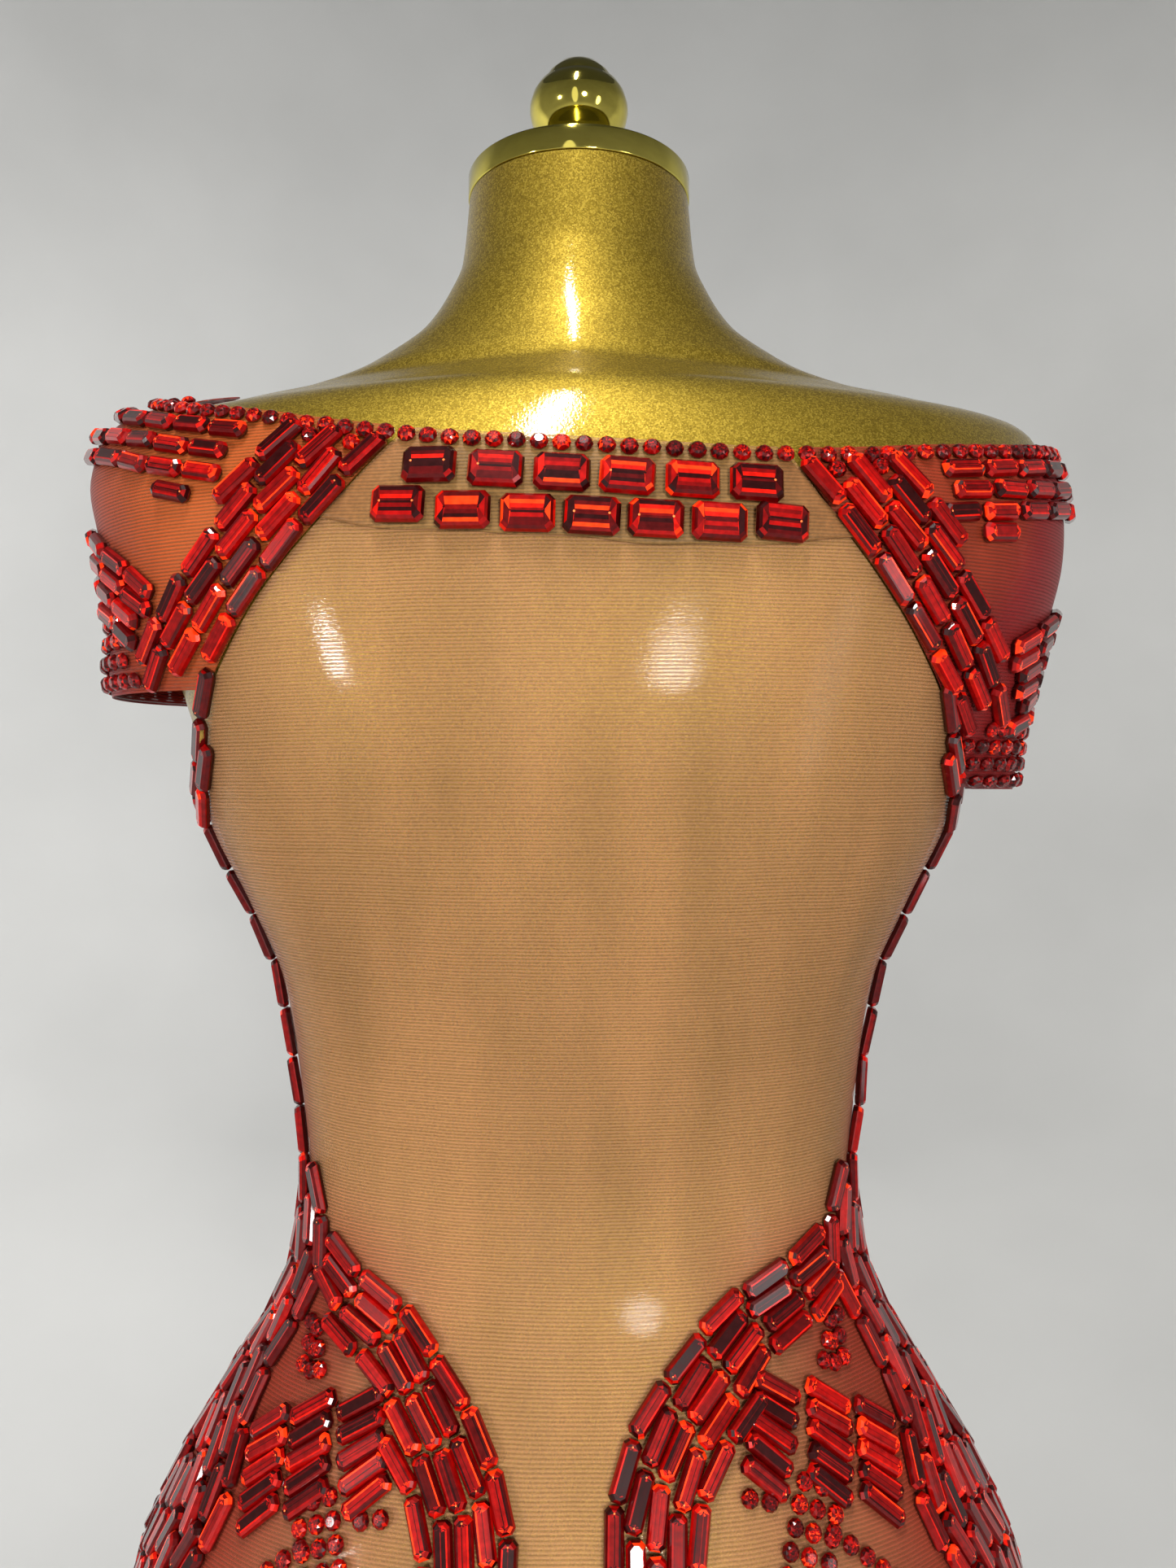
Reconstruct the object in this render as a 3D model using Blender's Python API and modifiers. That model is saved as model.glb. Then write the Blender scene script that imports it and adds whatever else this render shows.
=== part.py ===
"""A mini dress of sheer stretch net with sewn-on stones, worn by a dress form on a stand.

Metres, +Z up. The origin is on the floor under the middle of the stand, and the dress's back
faces +Y. Heights are given as a rise above the form's waist. A place around the figure is an
angle in degrees: 0 at the centre back, 90 at the wearer's left side, 180 at the centre front.
"""

import math
from collections import namedtuple

import bmesh
import bpy
from mathutils import Vector

# Driving sizes
WAIST_HEIGHT = 1.02
HEM_RISE = -0.40
NET_THICKNESS = 0.0011
NET_CLEARANCE = 0.0010
SEAM_GAP = 0.0003
SLEEVE_EASE = 0.0012
LAID_GAP = 0.0009
HIP_GAP = 0.0011
SHOULDER_GAP = {"left": 0.0017, "right": 0.0010}
STONE_HEIGHT = 0.0042
STONE_VALLEY = 0.0024
NECK_BAND_DEPTH = 0.0355
NECK_STONE_LENGTH = 0.0180
NECK_STONE_WIDTH = 0.0125
NECK_STONE_PITCH = 0.0220
NECK_STONE_HEIGHT = 0.0045
NECK_STONE_SLOPE = 0.0012
NECK_BAND_MARGIN = 0.0020
NECK_END_MARGIN = 0.0060
WINDOW_HEIGHT = 0.0010
# The brick rows of oblong stones: how many, and how deep under the neckline
NECK_ROWS = (("upper", 6, 0.0091), ("lower", 7, 0.0231))
CAP_RADIUS = 0.0460
CAP_HEIGHT = 0.0095
CAP_LIP = 0.0012
POLE_RADIUS = 0.0125
SOCKET_RADIUS = 0.032
SOCKET_HEIGHT = 0.045
SOCKET_FLANGE = 0.008
SOCKET_WALL = 0.006
BASE_RADIUS = 0.205
BASE_THICKNESS = 0.014
BASE_EDGE = 0.003
COLUMN_ANGLE = 9.0
SLEEVE_COLUMN = 6.13
SLEEVE_COLUMNS = 11
SLEEVE_ROWS = 9
CHEST_ROWS = 9
HIP_COLUMNS = 11

# The dress hangs a little askew: its neckline slopes up to the wearer's left and is turned
# towards the right, and the stones on the hips are turned towards the left
NECK_SLOPE = 0.058
NECK_TURN = -2.2
HIP_TURN = 2.0
CUFF_RISE = {"left": 0.1840, "right": 0.1510}

# The figure: half its width, the middle of its depth, how far its back and front stand from that
# middle, and how square its outline is (2 is an ellipse)
Section = namedtuple("Section", "rise half_width middle back front square")
FIGURE = (
    Section(-0.4000, 0.1520, 0.000, 0.078, 0.076, 2.20),
    Section(-0.3200, 0.1580, 0.000, 0.085, 0.080, 2.20),
    Section(-0.2600, 0.1660, 0.000, 0.095, 0.086, 2.20),
    Section(-0.2200, 0.1720, 0.000, 0.102, 0.091, 2.20),
    Section(-0.1800, 0.1745, 0.000, 0.105, 0.095, 2.20),
    Section(-0.1520, 0.1690, 0.000, 0.102, 0.098, 2.15),
    Section(-0.1200, 0.1560, 0.000, 0.093, 0.100, 2.15),
    Section(-0.0875, 0.1370, 0.000, 0.079, 0.101, 2.10),
    Section(-0.0550, 0.1180, 0.000, 0.063, 0.100, 2.10),
    Section(-0.0320, 0.1100, 0.000, 0.055, 0.098, 2.10),
    Section(0.0000, 0.1070, 0.000, 0.052, 0.094, 2.10),
    Section(0.0330, 0.1100, 0.000, 0.056, 0.091, 2.10),
    Section(0.0750, 0.1165, 0.000, 0.066, 0.090, 2.15),
    Section(0.1075, 0.1300, 0.000, 0.075, 0.091, 2.20),
    Section(0.1400, 0.1450, 0.000, 0.083, 0.093, 2.25),
    Section(0.1630, 0.1490, 0.000, 0.088, 0.094, 2.30),
    Section(0.1900, 0.1570, 0.000, 0.091, 0.092, 2.30),
    Section(0.2200, 0.1670, 0.000, 0.091, 0.087, 2.35),
    Section(0.2500, 0.1770, 0.000, 0.088, 0.078, 2.30),
    Section(0.2720, 0.1845, -0.001, 0.082, 0.068, 2.10),
    Section(0.2870, 0.1855, -0.002, 0.076, 0.061, 1.85),
    Section(0.2960, 0.1800, -0.003, 0.071, 0.057, 1.60),
    Section(0.3005, 0.1700, -0.004, 0.067, 0.054, 1.40),
    Section(0.3055, 0.1550, -0.005, 0.062, 0.052, 1.30),
    Section(0.3098, 0.1320, -0.006, 0.058, 0.051, 1.32),
    Section(0.3160, 0.1030, -0.008, 0.056, 0.050, 1.60),
    Section(0.3260, 0.0820, -0.009, 0.052, 0.049, 1.70),
    Section(0.3360, 0.0660, -0.010, 0.049, 0.048, 1.90),
    Section(0.3530, 0.0540, -0.012, 0.047, 0.047, 2.00),
    Section(0.3660, 0.0486, -0.013, 0.046, 0.046, 2.00),
    Section(0.3935, 0.0455, -0.013, 0.0455, 0.0455, 2.00),
)
TORSO_LEVELS = (
    -0.32, -0.26, -0.21, -0.18, -0.155, -0.13, -0.11, -0.09, -0.07, -0.05, -0.03, -0.01, 0.015,
    0.04, 0.065, 0.09, 0.12, 0.14, 0.16, 0.18, 0.20, 0.22, 0.24, 0.26, 0.275, 0.287, 0.296,
    0.3005, 0.3055, 0.3098, 0.316, 0.326, 0.336, 0.350, 0.3660, 0.3935,
)
CHEST_LEVEL = 0.12

# Each bust cup is a soft mound on the front
BUST = {"reach": 0.032, "apart": 0.074, "wide": 0.044, "rise": 0.142, "tall": 0.046}

# The raglan seam: how far round from the side it lies at each height
SeamPoint = namedtuple("SeamPoint", "from_side rise")
SEAM = (
    SeamPoint(0.0, 0.1440),
    SeamPoint(17.6, 0.1590),
    SeamPoint(28.7, 0.1770),
    SeamPoint(39.6, 0.1965),
    SeamPoint(48.2, 0.2140),
    SeamPoint(54.6, 0.2280),
    SeamPoint(60.8, 0.2430),
    SeamPoint(67.0, 0.2610),
    SeamPoint(69.5, 0.2690),
)
# The far edge of the band of stones that follows the raglan seam
BAND_EDGE = (
    SeamPoint(27.0, 0.1935),
    SeamPoint(33.0, 0.2075),
    SeamPoint(38.5, 0.2215),
    SeamPoint(45.0, 0.2360),
    SeamPoint(51.0, 0.2500),
    SeamPoint(57.0, 0.2620),
    SeamPoint(61.0, 0.2700),
)

# The band starts at the neckline, above the seam, and ends near the side just above each cuff
RAGLAN = {"near": 65.0, "far": 60.0, "narrowing": 6.0, "lift": 0.0035, "under_neck": 0.0045}
RAGLAN_END = {"left": 33.0, "right": 24.0}

SHOULDER = {"top_depth": 0.0045, "tip_depth": 0.0140, "end_depth": 0.0260, "columns": 8}
CUFF_ROWS = {"left": 4, "right": 5}
CUFF_COLUMNS = {"left": 3, "right": 2}

# The neckline's height, from the centre back round to the centre front
NeckPoint = namedtuple("NeckPoint", "angle rise")
NECKLINE = (
    NeckPoint(0.0, 0.2682),
    NeckPoint(14.0, 0.2686),
    NeckPoint(24.0, 0.2708),
    NeckPoint(40.0, 0.2782),
    NeckPoint(52.0, 0.2838),
    NeckPoint(70.0, 0.2925),
    NeckPoint(90.0, 0.2985),
    NeckPoint(112.0, 0.2935),
    NeckPoint(141.0, 0.2770),
    NeckPoint(158.0, 0.2680),
    NeckPoint(180.0, 0.2645),
)

# How far each cap sleeve stands out beyond the shoulder
SleeveStep = namedtuple("SleeveStep", "rise left right")
SLEEVE = (
    SleeveStep(0.1480, 0.0300, 0.0270),
    SleeveStep(0.1750, 0.0285, 0.0225),
    SleeveStep(0.1900, 0.0255, 0.0195),
    SleeveStep(0.2130, 0.0150, 0.0180),
    SleeveStep(0.2400, 0.0105, 0.0165),
    SleeveStep(0.2600, 0.0080, 0.0125),
    SleeveStep(0.2800, 0.0045, 0.0050),
    SleeveStep(0.2985, 0.0010, 0.0010),
)

# The stones on the hips begin this far from the centre line, and run to the side seam
HipEdge = namedtuple("HipEdge", "rise angle")
HIP_EDGE = (
    HipEdge(-0.3985, 7.0),
    HipEdge(-0.3000, 6.8),
    HipEdge(-0.2200, 7.0),
    HipEdge(-0.1400, 7.4),
    HipEdge(-0.1000, 7.8),
    HipEdge(-0.0840, 9.8),
    HipEdge(-0.0690, 14.0),
    HipEdge(-0.0525, 22.0),
    HipEdge(-0.0370, 32.0),
    HipEdge(-0.0270, 44.5),
    HipEdge(-0.0130, 61.0),
    HipEdge(0.0000, 69.0),
)
# Extra rows of points where that edge sweeps round the waist, and at its two ends
HIP_ROWS = (HEM_RISE + 0.0015, -0.08, -0.06, -0.04, -0.02, 0.0)
# Bare windows among the stones on the hips
Window = namedtuple("Window", "angle rise wide tall")
WINDOWS = (
    Window(46.0, -0.088, 7.0, 0.013),
    Window(36.0, -0.170, 12.0, 0.026),
    Window(52.0, -0.250, 14.0, 0.030),
)

# The column of stones up each side seam, from the waist to the underarm
SIDE_EDGE = 89.0
SIDE_START = 77.0
SIDE_ROWS = (0.003, 0.015, 0.04, 0.065, 0.09, 0.105, 0.12, 0.128)

# The turned knob on the neck, from its top down its outer side
KnobPoint = namedtuple("KnobPoint", "radius rise")
FINIAL = (
    KnobPoint(0.0, 0.0512),
    KnobPoint(0.0050, 0.0506),
    KnobPoint(0.0098, 0.0484),
    KnobPoint(0.0132, 0.0450),
    KnobPoint(0.0146, 0.0420),
    KnobPoint(0.0150, 0.0412),
    KnobPoint(0.0172, 0.0402),
    KnobPoint(0.0192, 0.0370),
    KnobPoint(0.0204, 0.0330),
    KnobPoint(0.0205, 0.0300),
    KnobPoint(0.0196, 0.0262),
    KnobPoint(0.0176, 0.0230),
    KnobPoint(0.0150, 0.0205),
    KnobPoint(0.0132, 0.0190),
    KnobPoint(0.0128, 0.0170),
    KnobPoint(0.0128, 0.0060),
    KnobPoint(0.0160, 0.0040),
    KnobPoint(0.0172, 0.0020),
    KnobPoint(0.0172, 0.0),
    KnobPoint(0.0, 0.0),
)


class Curve:
    """A smooth curve through points, which never overshoots them."""

    def __init__(self, rows, across, up):
        self.xs = [getattr(row, across) for row in rows]
        self.ys = [getattr(row, up) for row in rows]
        steps = [b - a for a, b in zip(self.xs, self.xs[1:])]
        rises = [(b - a) / h for a, b, h in zip(self.ys, self.ys[1:], steps)]
        inner = [
            0.0 if a * b <= 0 else 3 * (g + h) / ((2 * h + g) / a + (h + 2 * g) / b)
            for a, b, g, h in zip(rises, rises[1:], steps, steps[1:])
        ]
        self.slopes = [rises[0], *inner, rises[-1]]

    def __call__(self, x):
        x = min(max(x, self.xs[0]), self.xs[-1])
        i = 0
        while i < len(self.xs) - 2 and x > self.xs[i + 1]:
            i += 1
        h = self.xs[i + 1] - self.xs[i]
        t = (x - self.xs[i]) / h
        a = (2 * t**3 - 3 * t**2 + 1) * self.ys[i] + (t**3 - 2 * t**2 + t) * h * self.slopes[i]
        b = (3 * t**2 - 2 * t**3) * self.ys[i + 1] + (t**3 - t**2) * h * self.slopes[i + 1]
        return a + b


half_width = Curve(FIGURE, "rise", "half_width")
middle = Curve(FIGURE, "rise", "middle")
back_depth = Curve(FIGURE, "rise", "back")
front_depth = Curve(FIGURE, "rise", "front")
squareness = Curve(FIGURE, "rise", "square")
seam_rise = Curve(SEAM, "from_side", "rise")
seam_from_side = Curve(SEAM, "rise", "from_side")
band_edge_rise = Curve(BAND_EDGE, "from_side", "rise")
neck_rise = Curve(NECKLINE, "angle", "rise")
hip_edge = Curve(HIP_EDGE, "rise", "angle")
stand_off = {side: Curve(SLEEVE, "rise", side) for side in ("left", "right")}


def bell(distance, spread):
    return math.exp(-0.5 * (distance / spread) ** 2)


def mix(a, b, share):
    return a + (b - a) * share


def spaced(low, high, count):
    return [mix(low, high, i / (count - 1)) for i in range(count)]


def wrapped(angle):
    """The same angle, between -180 and 180."""
    return (angle + 180.0) % 360.0 - 180.0


def from_side(angle):
    return abs(90.0 - abs(wrapped(angle)))


def bust_reach(x, rise, bridged):
    """How far the bust stands out. The dress bridges the dip between the two cups."""
    upright = bell(rise - BUST["rise"], BUST["tall"])
    if bridged and abs(x) < BUST["apart"]:
        return 1.01 * BUST["reach"] * upright
    cups = bell(x - BUST["apart"], BUST["wide"]) + bell(x + BUST["apart"], BUST["wide"])
    return BUST["reach"] * upright * cups


def figure(rise, angle, bridged=False):
    """A point on the figure's skin."""
    turn = math.radians(angle)
    square = squareness(rise)
    share = min(abs(math.sin(turn)), 1.0)
    x = half_width(rise) * math.sin(turn)
    depth = (1.0 - share**square) ** (1.0 / square)
    if math.cos(turn) > 0:
        y = back_depth(rise) * depth
    else:
        y = -front_depth(rise) * depth - bust_reach(x, rise, bridged) * abs(math.cos(turn))
    return Vector((x, middle(rise) + y, WAIST_HEIGHT + rise))


def normal(rise, angle):
    step_angle, step_rise = 0.6, 0.0015
    along = figure(rise, angle + step_angle, True) - figure(rise, angle - step_angle, True)
    up = figure(rise + step_rise, angle, True) - figure(rise - step_rise, angle, True)
    return up.cross(along).normalized()


def hung(rise, angle):
    """Where a point of the cut truly lies, with the dress hanging askew on the form."""
    lowest, highest = SEAM[0].rise, SEAM[-1].rise
    hold = min(max((rise - lowest) / (highest - lowest), 0.0), 1.0)
    turned_to = angle + hold * NECK_TURN
    return rise + hold * NECK_SLOPE * half_width(rise) * math.sin(math.radians(angle)), turned_to


def on_body(rise, angle, out):
    """A point of the dress's body, `out` metres outside the cloth's inner face."""
    true_rise, true_angle = hung(rise, angle)
    away = (NET_CLEARANCE + out) * normal(true_rise, true_angle)
    return figure(true_rise, true_angle, True) + away


def on_sleeve(rise, angle, out):
    """As on the body, with the cap sleeve standing out beyond the raglan seams."""
    seam = seam_from_side(rise)
    free = max(1.0 - (from_side(angle) / seam) ** 2, 0.0) if seam > 0.0 else 0.0
    point = on_body(rise, angle, out + SLEEVE_EASE * free)
    side = "left" if wrapped(angle) > 0 else "right"
    point.x += math.copysign(stand_off[side](rise) * free, wrapped(angle))
    return point


def neckline(angle):
    return neck_rise(abs(wrapped(angle)))


def panel_top(angle):
    """The top edge of the front and back: the neckline, then the raglan seam to the underarm."""
    if from_side(angle) >= SEAM[-1].from_side:
        return neckline(angle)
    return seam_rise(from_side(angle))


def sleeve_foot(angle, side):
    """The lower edge of the sleeve: the raglan seam, then the cuff across the side."""
    seam = seam_rise(from_side(angle)) + 3 * SEAM_GAP
    return max(seam, CUFF_RISE[side])


class Cloth:
    """A cloth piece as a grid of points: columns by angle, rows from its foot to its top."""

    def __init__(self, angles, rises, surface):
        self.angles, self.rises, self.surface = angles, rises, surface
        self.inner = self.grid(0.0)
        self.outer = self.grid(NET_THICKNESS)

    def grid(self, out):
        return [
            [self.surface(rise, angle, out) for rise, angle in zip(row, self.angles)]
            for row in self.rises
        ]

    def at(self, rise, angle, out):
        """A point over the cloth's outer face, which keeps to the facets of its grid."""
        i = 0
        while i < len(self.angles) - 2 and angle > self.angles[i + 1]:
            i += 1
        across = (angle - self.angles[i]) / (self.angles[i + 1] - self.angles[i])
        heights = [mix(row[i], row[i + 1], across) for row in self.rises]
        j = 0
        while j < len(heights) - 2 and rise > heights[j + 1]:
            j += 1
        up = (rise - heights[j]) / (heights[j + 1] - heights[j])
        low = self.outer[j][i].lerp(self.outer[j][i + 1], across)
        high = self.outer[j + 1][i].lerp(self.outer[j + 1][i + 1], across)
        return low.lerp(high, up) + out * normal(*hung(rise, angle))


def material(name, color, roughness, metallic=0.0):
    made = bpy.data.materials.new(name)
    made.use_nodes = True
    shader = made.node_tree.nodes["Principled BSDF"]
    shader.inputs["Base Color"].default_value = (*color, 1.0)
    shader.inputs["Roughness"].default_value = roughness
    shader.inputs["Metallic"].default_value = metallic
    return made


def make_object(name, mesh, finish, collection):
    obj = bpy.data.objects.new(name, mesh)
    obj.data.materials.append(finish)
    collection.objects.link(obj)
    return obj


def finish_mesh(name, shape, finish, collection):
    bmesh.ops.recalc_face_normals(shape, faces=shape.faces)
    bmesh.ops.triangulate(shape, faces=shape.faces)
    mesh = bpy.data.meshes.new(name)
    shape.to_mesh(mesh)
    shape.free()
    mesh.shade_smooth()
    mesh.set_sharp_from_angle(angle=math.radians(40))
    return make_object(name, mesh, finish, collection)


def loft(name, rings, finish, collection):
    """A closed solid through rings of points, with a flat cap at each end."""
    shape = bmesh.new()
    rows = [[shape.verts.new(point) for point in ring] for ring in rings]
    for low, high in zip(rows, rows[1:]):
        for i in range(len(low)):
            j = (i + 1) % len(low)
            shape.faces.new((low[i], low[j], high[j], high[i]))
    shape.faces.new(list(reversed(rows[0])))
    shape.faces.new(rows[-1])
    return finish_mesh(name, shape, finish, collection)


def wall(name, inner, outer, finish, collection):
    """A cloth wall between two like grids of points, each a list of rows from foot to top."""
    shape = bmesh.new()
    inside = [[shape.verts.new(point) for point in row] for row in inner]
    outside = [[shape.verts.new(point) for point in row] for row in outer]
    last = len(inner[0]) - 1
    for r in range(len(inner) - 1):
        for i in range(last):
            j = i + 1
            shape.faces.new((outside[r][i], outside[r][j], outside[r + 1][j], outside[r + 1][i]))
            shape.faces.new((inside[r][j], inside[r][i], inside[r + 1][i], inside[r + 1][j]))
        shape.faces.new((inside[r][0], outside[r][0], outside[r + 1][0], inside[r + 1][0]))
        shape.faces.new(
            (outside[r][last], inside[r][last], inside[r + 1][last], outside[r + 1][last])
        )
    for i in range(last):
        j = i + 1
        shape.faces.new((inside[0][i], inside[0][j], outside[0][j], outside[0][i]))
        shape.faces.new((inside[-1][j], inside[-1][i], outside[-1][i], outside[-1][j]))
    return finish_mesh(name, shape, finish, collection)


def turned(name, profile, steps, finish, collection):
    """A turned piece from a profile of (radius, height) that runs down its outer side."""
    mesh = bpy.data.meshes.new(name)
    points = [(radius, 0.0, height) for radius, height in profile]
    mesh.from_pydata(points, [(i, i + 1) for i in range(len(points) - 1)], [])
    obj = make_object(name, mesh, finish, collection)
    screw = obj.modifiers.new("Screw", "SCREW")
    screw.steps = screw.render_steps = steps
    screw.use_merge_vertices = True
    screw.merge_threshold = 0.00001
    screw.use_smooth_shade = True
    return obj


def make_torso(finish, collection):
    count = round(360.0 / COLUMN_ANGLE)
    rings = [
        [figure(rise, COLUMN_ANGLE * i) for i in range(count)] for rise in TORSO_LEVELS
    ]
    return loft("torso", rings, finish, collection)


def make_neck_cap(finish, collection):
    foot = WAIST_HEIGHT + TORSO_LEVELS[-1] + SEAM_GAP
    top = foot + CAP_HEIGHT
    rounding = 0.4 * CAP_LIP
    profile = [
        (0.0, top - CAP_LIP),
        (CAP_RADIUS - 3 * CAP_LIP, top - CAP_LIP),
        (CAP_RADIUS - 2 * CAP_LIP, top),
        (CAP_RADIUS - rounding, top),
        (CAP_RADIUS, top - rounding),
        (CAP_RADIUS, foot + rounding),
        (CAP_RADIUS - rounding, foot),
        (0.0, foot),
    ]
    obj = turned("neck_cap", profile, 40, finish, collection)
    obj.location.y = middle(TORSO_LEVELS[-1])
    return top - CAP_LIP


def make_finial(cap_top, finish, collection):
    foot = cap_top + SEAM_GAP
    profile = [(point.radius, foot + point.rise) for point in FINIAL]
    obj = turned("finial", profile, 24, finish, collection)
    obj.location.y = middle(TORSO_LEVELS[-1])


def make_socket(finish, collection):
    """The socket under the form, a flange over a short tube."""
    top = WAIST_HEIGHT + TORSO_LEVELS[0] - SEAM_GAP
    foot = top - SOCKET_HEIGHT
    tube = POLE_RADIUS + SOCKET_WALL
    profile = [
        (0.0, top),
        (SOCKET_RADIUS, top),
        (SOCKET_RADIUS, top - SOCKET_FLANGE),
        (tube + 0.002, top - SOCKET_FLANGE - 0.003),
        (tube, top - SOCKET_FLANGE - 0.006),
        (tube, foot + 0.001),
        (tube - 0.001, foot),
        (0.0, foot),
    ]
    turned("socket", profile, 24, finish, collection)
    return foot


def make_pole(socket_foot, finish, collection):
    top = socket_foot - SEAM_GAP
    foot = BASE_THICKNESS + SEAM_GAP
    profile = [(0.0, top), (POLE_RADIUS, top), (POLE_RADIUS, foot), (0.0, foot)]
    turned("pole", profile, 24, finish, collection)


def make_base(finish, collection):
    profile = [
        (0.0, BASE_THICKNESS),
        (BASE_RADIUS - 2 * BASE_EDGE, BASE_THICKNESS),
        (BASE_RADIUS - BASE_EDGE, BASE_THICKNESS - 0.3 * BASE_EDGE),
        (BASE_RADIUS, BASE_THICKNESS - BASE_EDGE),
        (BASE_RADIUS, 0.3 * BASE_EDGE),
        (BASE_RADIUS - 0.3 * BASE_EDGE, 0.0),
        (0.0, 0.0),
    ]
    turned("base", profile, 48, finish, collection)


def make_panel(name, facing, finish, collection):
    """The front or back, from the hem to the neckline, between the side seams."""
    edge = math.degrees(SEAM_GAP / half_width(0.0))
    count = round(180.0 / COLUMN_ANGLE)
    angles = [facing - 90.0 + COLUMN_ANGLE * i for i in range(count + 1)]
    angles[0] += edge
    angles[-1] -= edge
    below = [HEM_RISE, *[level for level in TORSO_LEVELS if level <= CHEST_LEVEL]]
    rises = [[level] * len(angles) for level in below]
    for row in range(1, CHEST_ROWS + 1):
        share = row / CHEST_ROWS
        rises.append([mix(CHEST_LEVEL, panel_top(angle), share) for angle in angles])
    cloth = Cloth(angles, rises, on_body)
    wall(name, cloth.inner, cloth.outer, finish, collection)
    return cloth


def make_sleeve(side, finish, collection):
    """A cap sleeve, from the back raglan seam over the shoulder to the front one."""
    sign = 1.0 if side == "left" else -1.0
    columns = range(-SLEEVE_COLUMNS, SLEEVE_COLUMNS + 1)
    angles = sorted(sign * (90.0 + column * SLEEVE_COLUMN) for column in columns)
    rises = [
        [mix(sleeve_foot(angle, side), neckline(angle), share) for angle in angles]
        for share in spaced(0.0, 1.0, SLEEVE_ROWS)
    ]
    cloth = Cloth(angles, rises, on_sleeve)
    wall(f"sleeve_{side}", cloth.inner, cloth.outer, finish, collection)
    return cloth


def laid(name, cloth, places, heights, gap, finish, collection):
    """A piece that lies on a cloth. Places are rows of (rise, angle), heights rows of metres."""
    inner = [[cloth.at(rise, angle, gap) for rise, angle in row] for row in places]
    outer = [
        [cloth.at(rise, angle, gap + height) for (rise, angle), height in zip(row, tall)]
        for row, tall in zip(places, heights)
    ]
    return wall(name, inner, outer, finish, collection)


def ribbed(rows, columns):
    """Heights for courses of stones: every other line of points is a valley between two."""
    return [
        [STONE_HEIGHT if i % 2 else STONE_VALLEY for i in range(columns)]
        for _ in range(rows)
    ]


def make_neck_band(name, cloth, facing, finish, collection):
    """The doubled net under the neckline, between the raglan seams."""
    depths = spaced(NECK_BAND_DEPTH, NECK_BAND_MARGIN, 4)
    columns = spaced(-1.0, 1.0, 15)
    places = [[neck_band_place(depth, across, facing) for across in columns] for depth in depths]
    heights = [[NET_THICKNESS] * len(columns) for _ in depths]
    laid(name, cloth, places, heights, LAID_GAP, finish, collection)


def make_neck_stones(name, cloth, count, depth, finish, collection):
    """One brick row of oblong stones on the back neck band, joined by a low strip."""
    reach = NECK_STONE_LENGTH / 2 - NECK_STONE_SLOPE
    columns = []
    for k in range(count):
        middle_x = (k - (count - 1) / 2) * NECK_STONE_PITCH
        columns += [(middle_x - reach, True), (middle_x + reach, True)]
        if k < count - 1:
            columns.append((middle_x + NECK_STONE_PITCH / 2, False))
    end = columns[-1][0] + NECK_STONE_SLOPE
    columns = [(-end, False), *columns, (end, False)]
    low = depth + NECK_STONE_WIDTH
    levels = (
        (low, False),
        (low - NECK_STONE_SLOPE, True),
        (depth + NECK_STONE_SLOPE, True),
        (depth, False),
    )
    places, heights = [], []
    for level, is_high in levels:
        turns = [math.degrees(math.asin(x / half_width(neckline(0.0)))) for x, _ in columns]
        places.append([(neck_rise(abs(turn)) - level, turn) for turn in turns])
        heights.append([
            NECK_STONE_HEIGHT if is_high and is_stone else NET_THICKNESS
            for _, is_stone in columns
        ])
    lift = LAID_GAP + NET_THICKNESS + LAID_GAP
    laid(name, cloth, places, heights, lift, finish, collection)


def neck_band_place(depth, across, facing):
    """A place on the neck band: how deep under the neckline and how far across, -1 to 1."""
    rise = neckline(facing) - depth
    seam = 90.0 - seam_from_side(min(rise + 0.003, SEAM[-1].rise))
    widest = half_width(rise) * math.sin(math.radians(seam)) - NECK_END_MARGIN
    turn = math.degrees(math.asin(across * widest / half_width(rise)))
    return neck_rise(abs(wrapped(facing + turn))) - depth, facing + turn


def sign_of_x(facing, sign):
    """1 for turning further from the centre line on this side, -1 for less far."""
    return sign if facing == 0 else -sign


def make_hip_stones(name, cloth, facing, sign, finish, collection):
    """The stones of one hip, from beside the centre line round to the side seam."""
    rises = sorted({*HIP_ROWS, *[level for level in TORSO_LEVELS if level < 0.0]})
    places, heights = [], []
    for rise in rises:
        starts = hip_edge(rise) + HIP_TURN * sign_of_x(facing, sign)
        turns = spaced(starts, SIDE_EDGE, HIP_COLUMNS)
        if sign < 0:
            turns = [-turn for turn in reversed(turns)]
        row = [(rise, facing + turn) for turn in turns]
        places.append(row)
        tall = []
        for i, turn in enumerate(turns):
            height = STONE_HEIGHT if i % 2 else STONE_VALLEY
            for window in WINDOWS:
                across = (abs(turn) - window.angle) / window.wide
                up = (rise - window.rise) / window.tall
                if across**2 + up**2 < 1.0:
                    height = WINDOW_HEIGHT
            tall.append(height)
        heights.append(tall)
    laid(name, cloth, places, heights, HIP_GAP, finish, collection)


def make_side_stones(name, cloth, facing, sign, finish, collection):
    """The narrow column of stones beside one side seam, from the waist to the underarm."""
    turns = spaced(SIDE_START, SIDE_EDGE, 3)
    if sign < 0:
        turns = [-turn for turn in reversed(turns)]
    places = [[(rise, facing + turn) for turn in turns] for rise in SIDE_ROWS]
    heights = [[STONE_VALLEY, STONE_HEIGHT, STONE_VALLEY] for _ in SIDE_ROWS]
    laid(name, cloth, places, heights, LAID_GAP, finish, collection)


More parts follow.
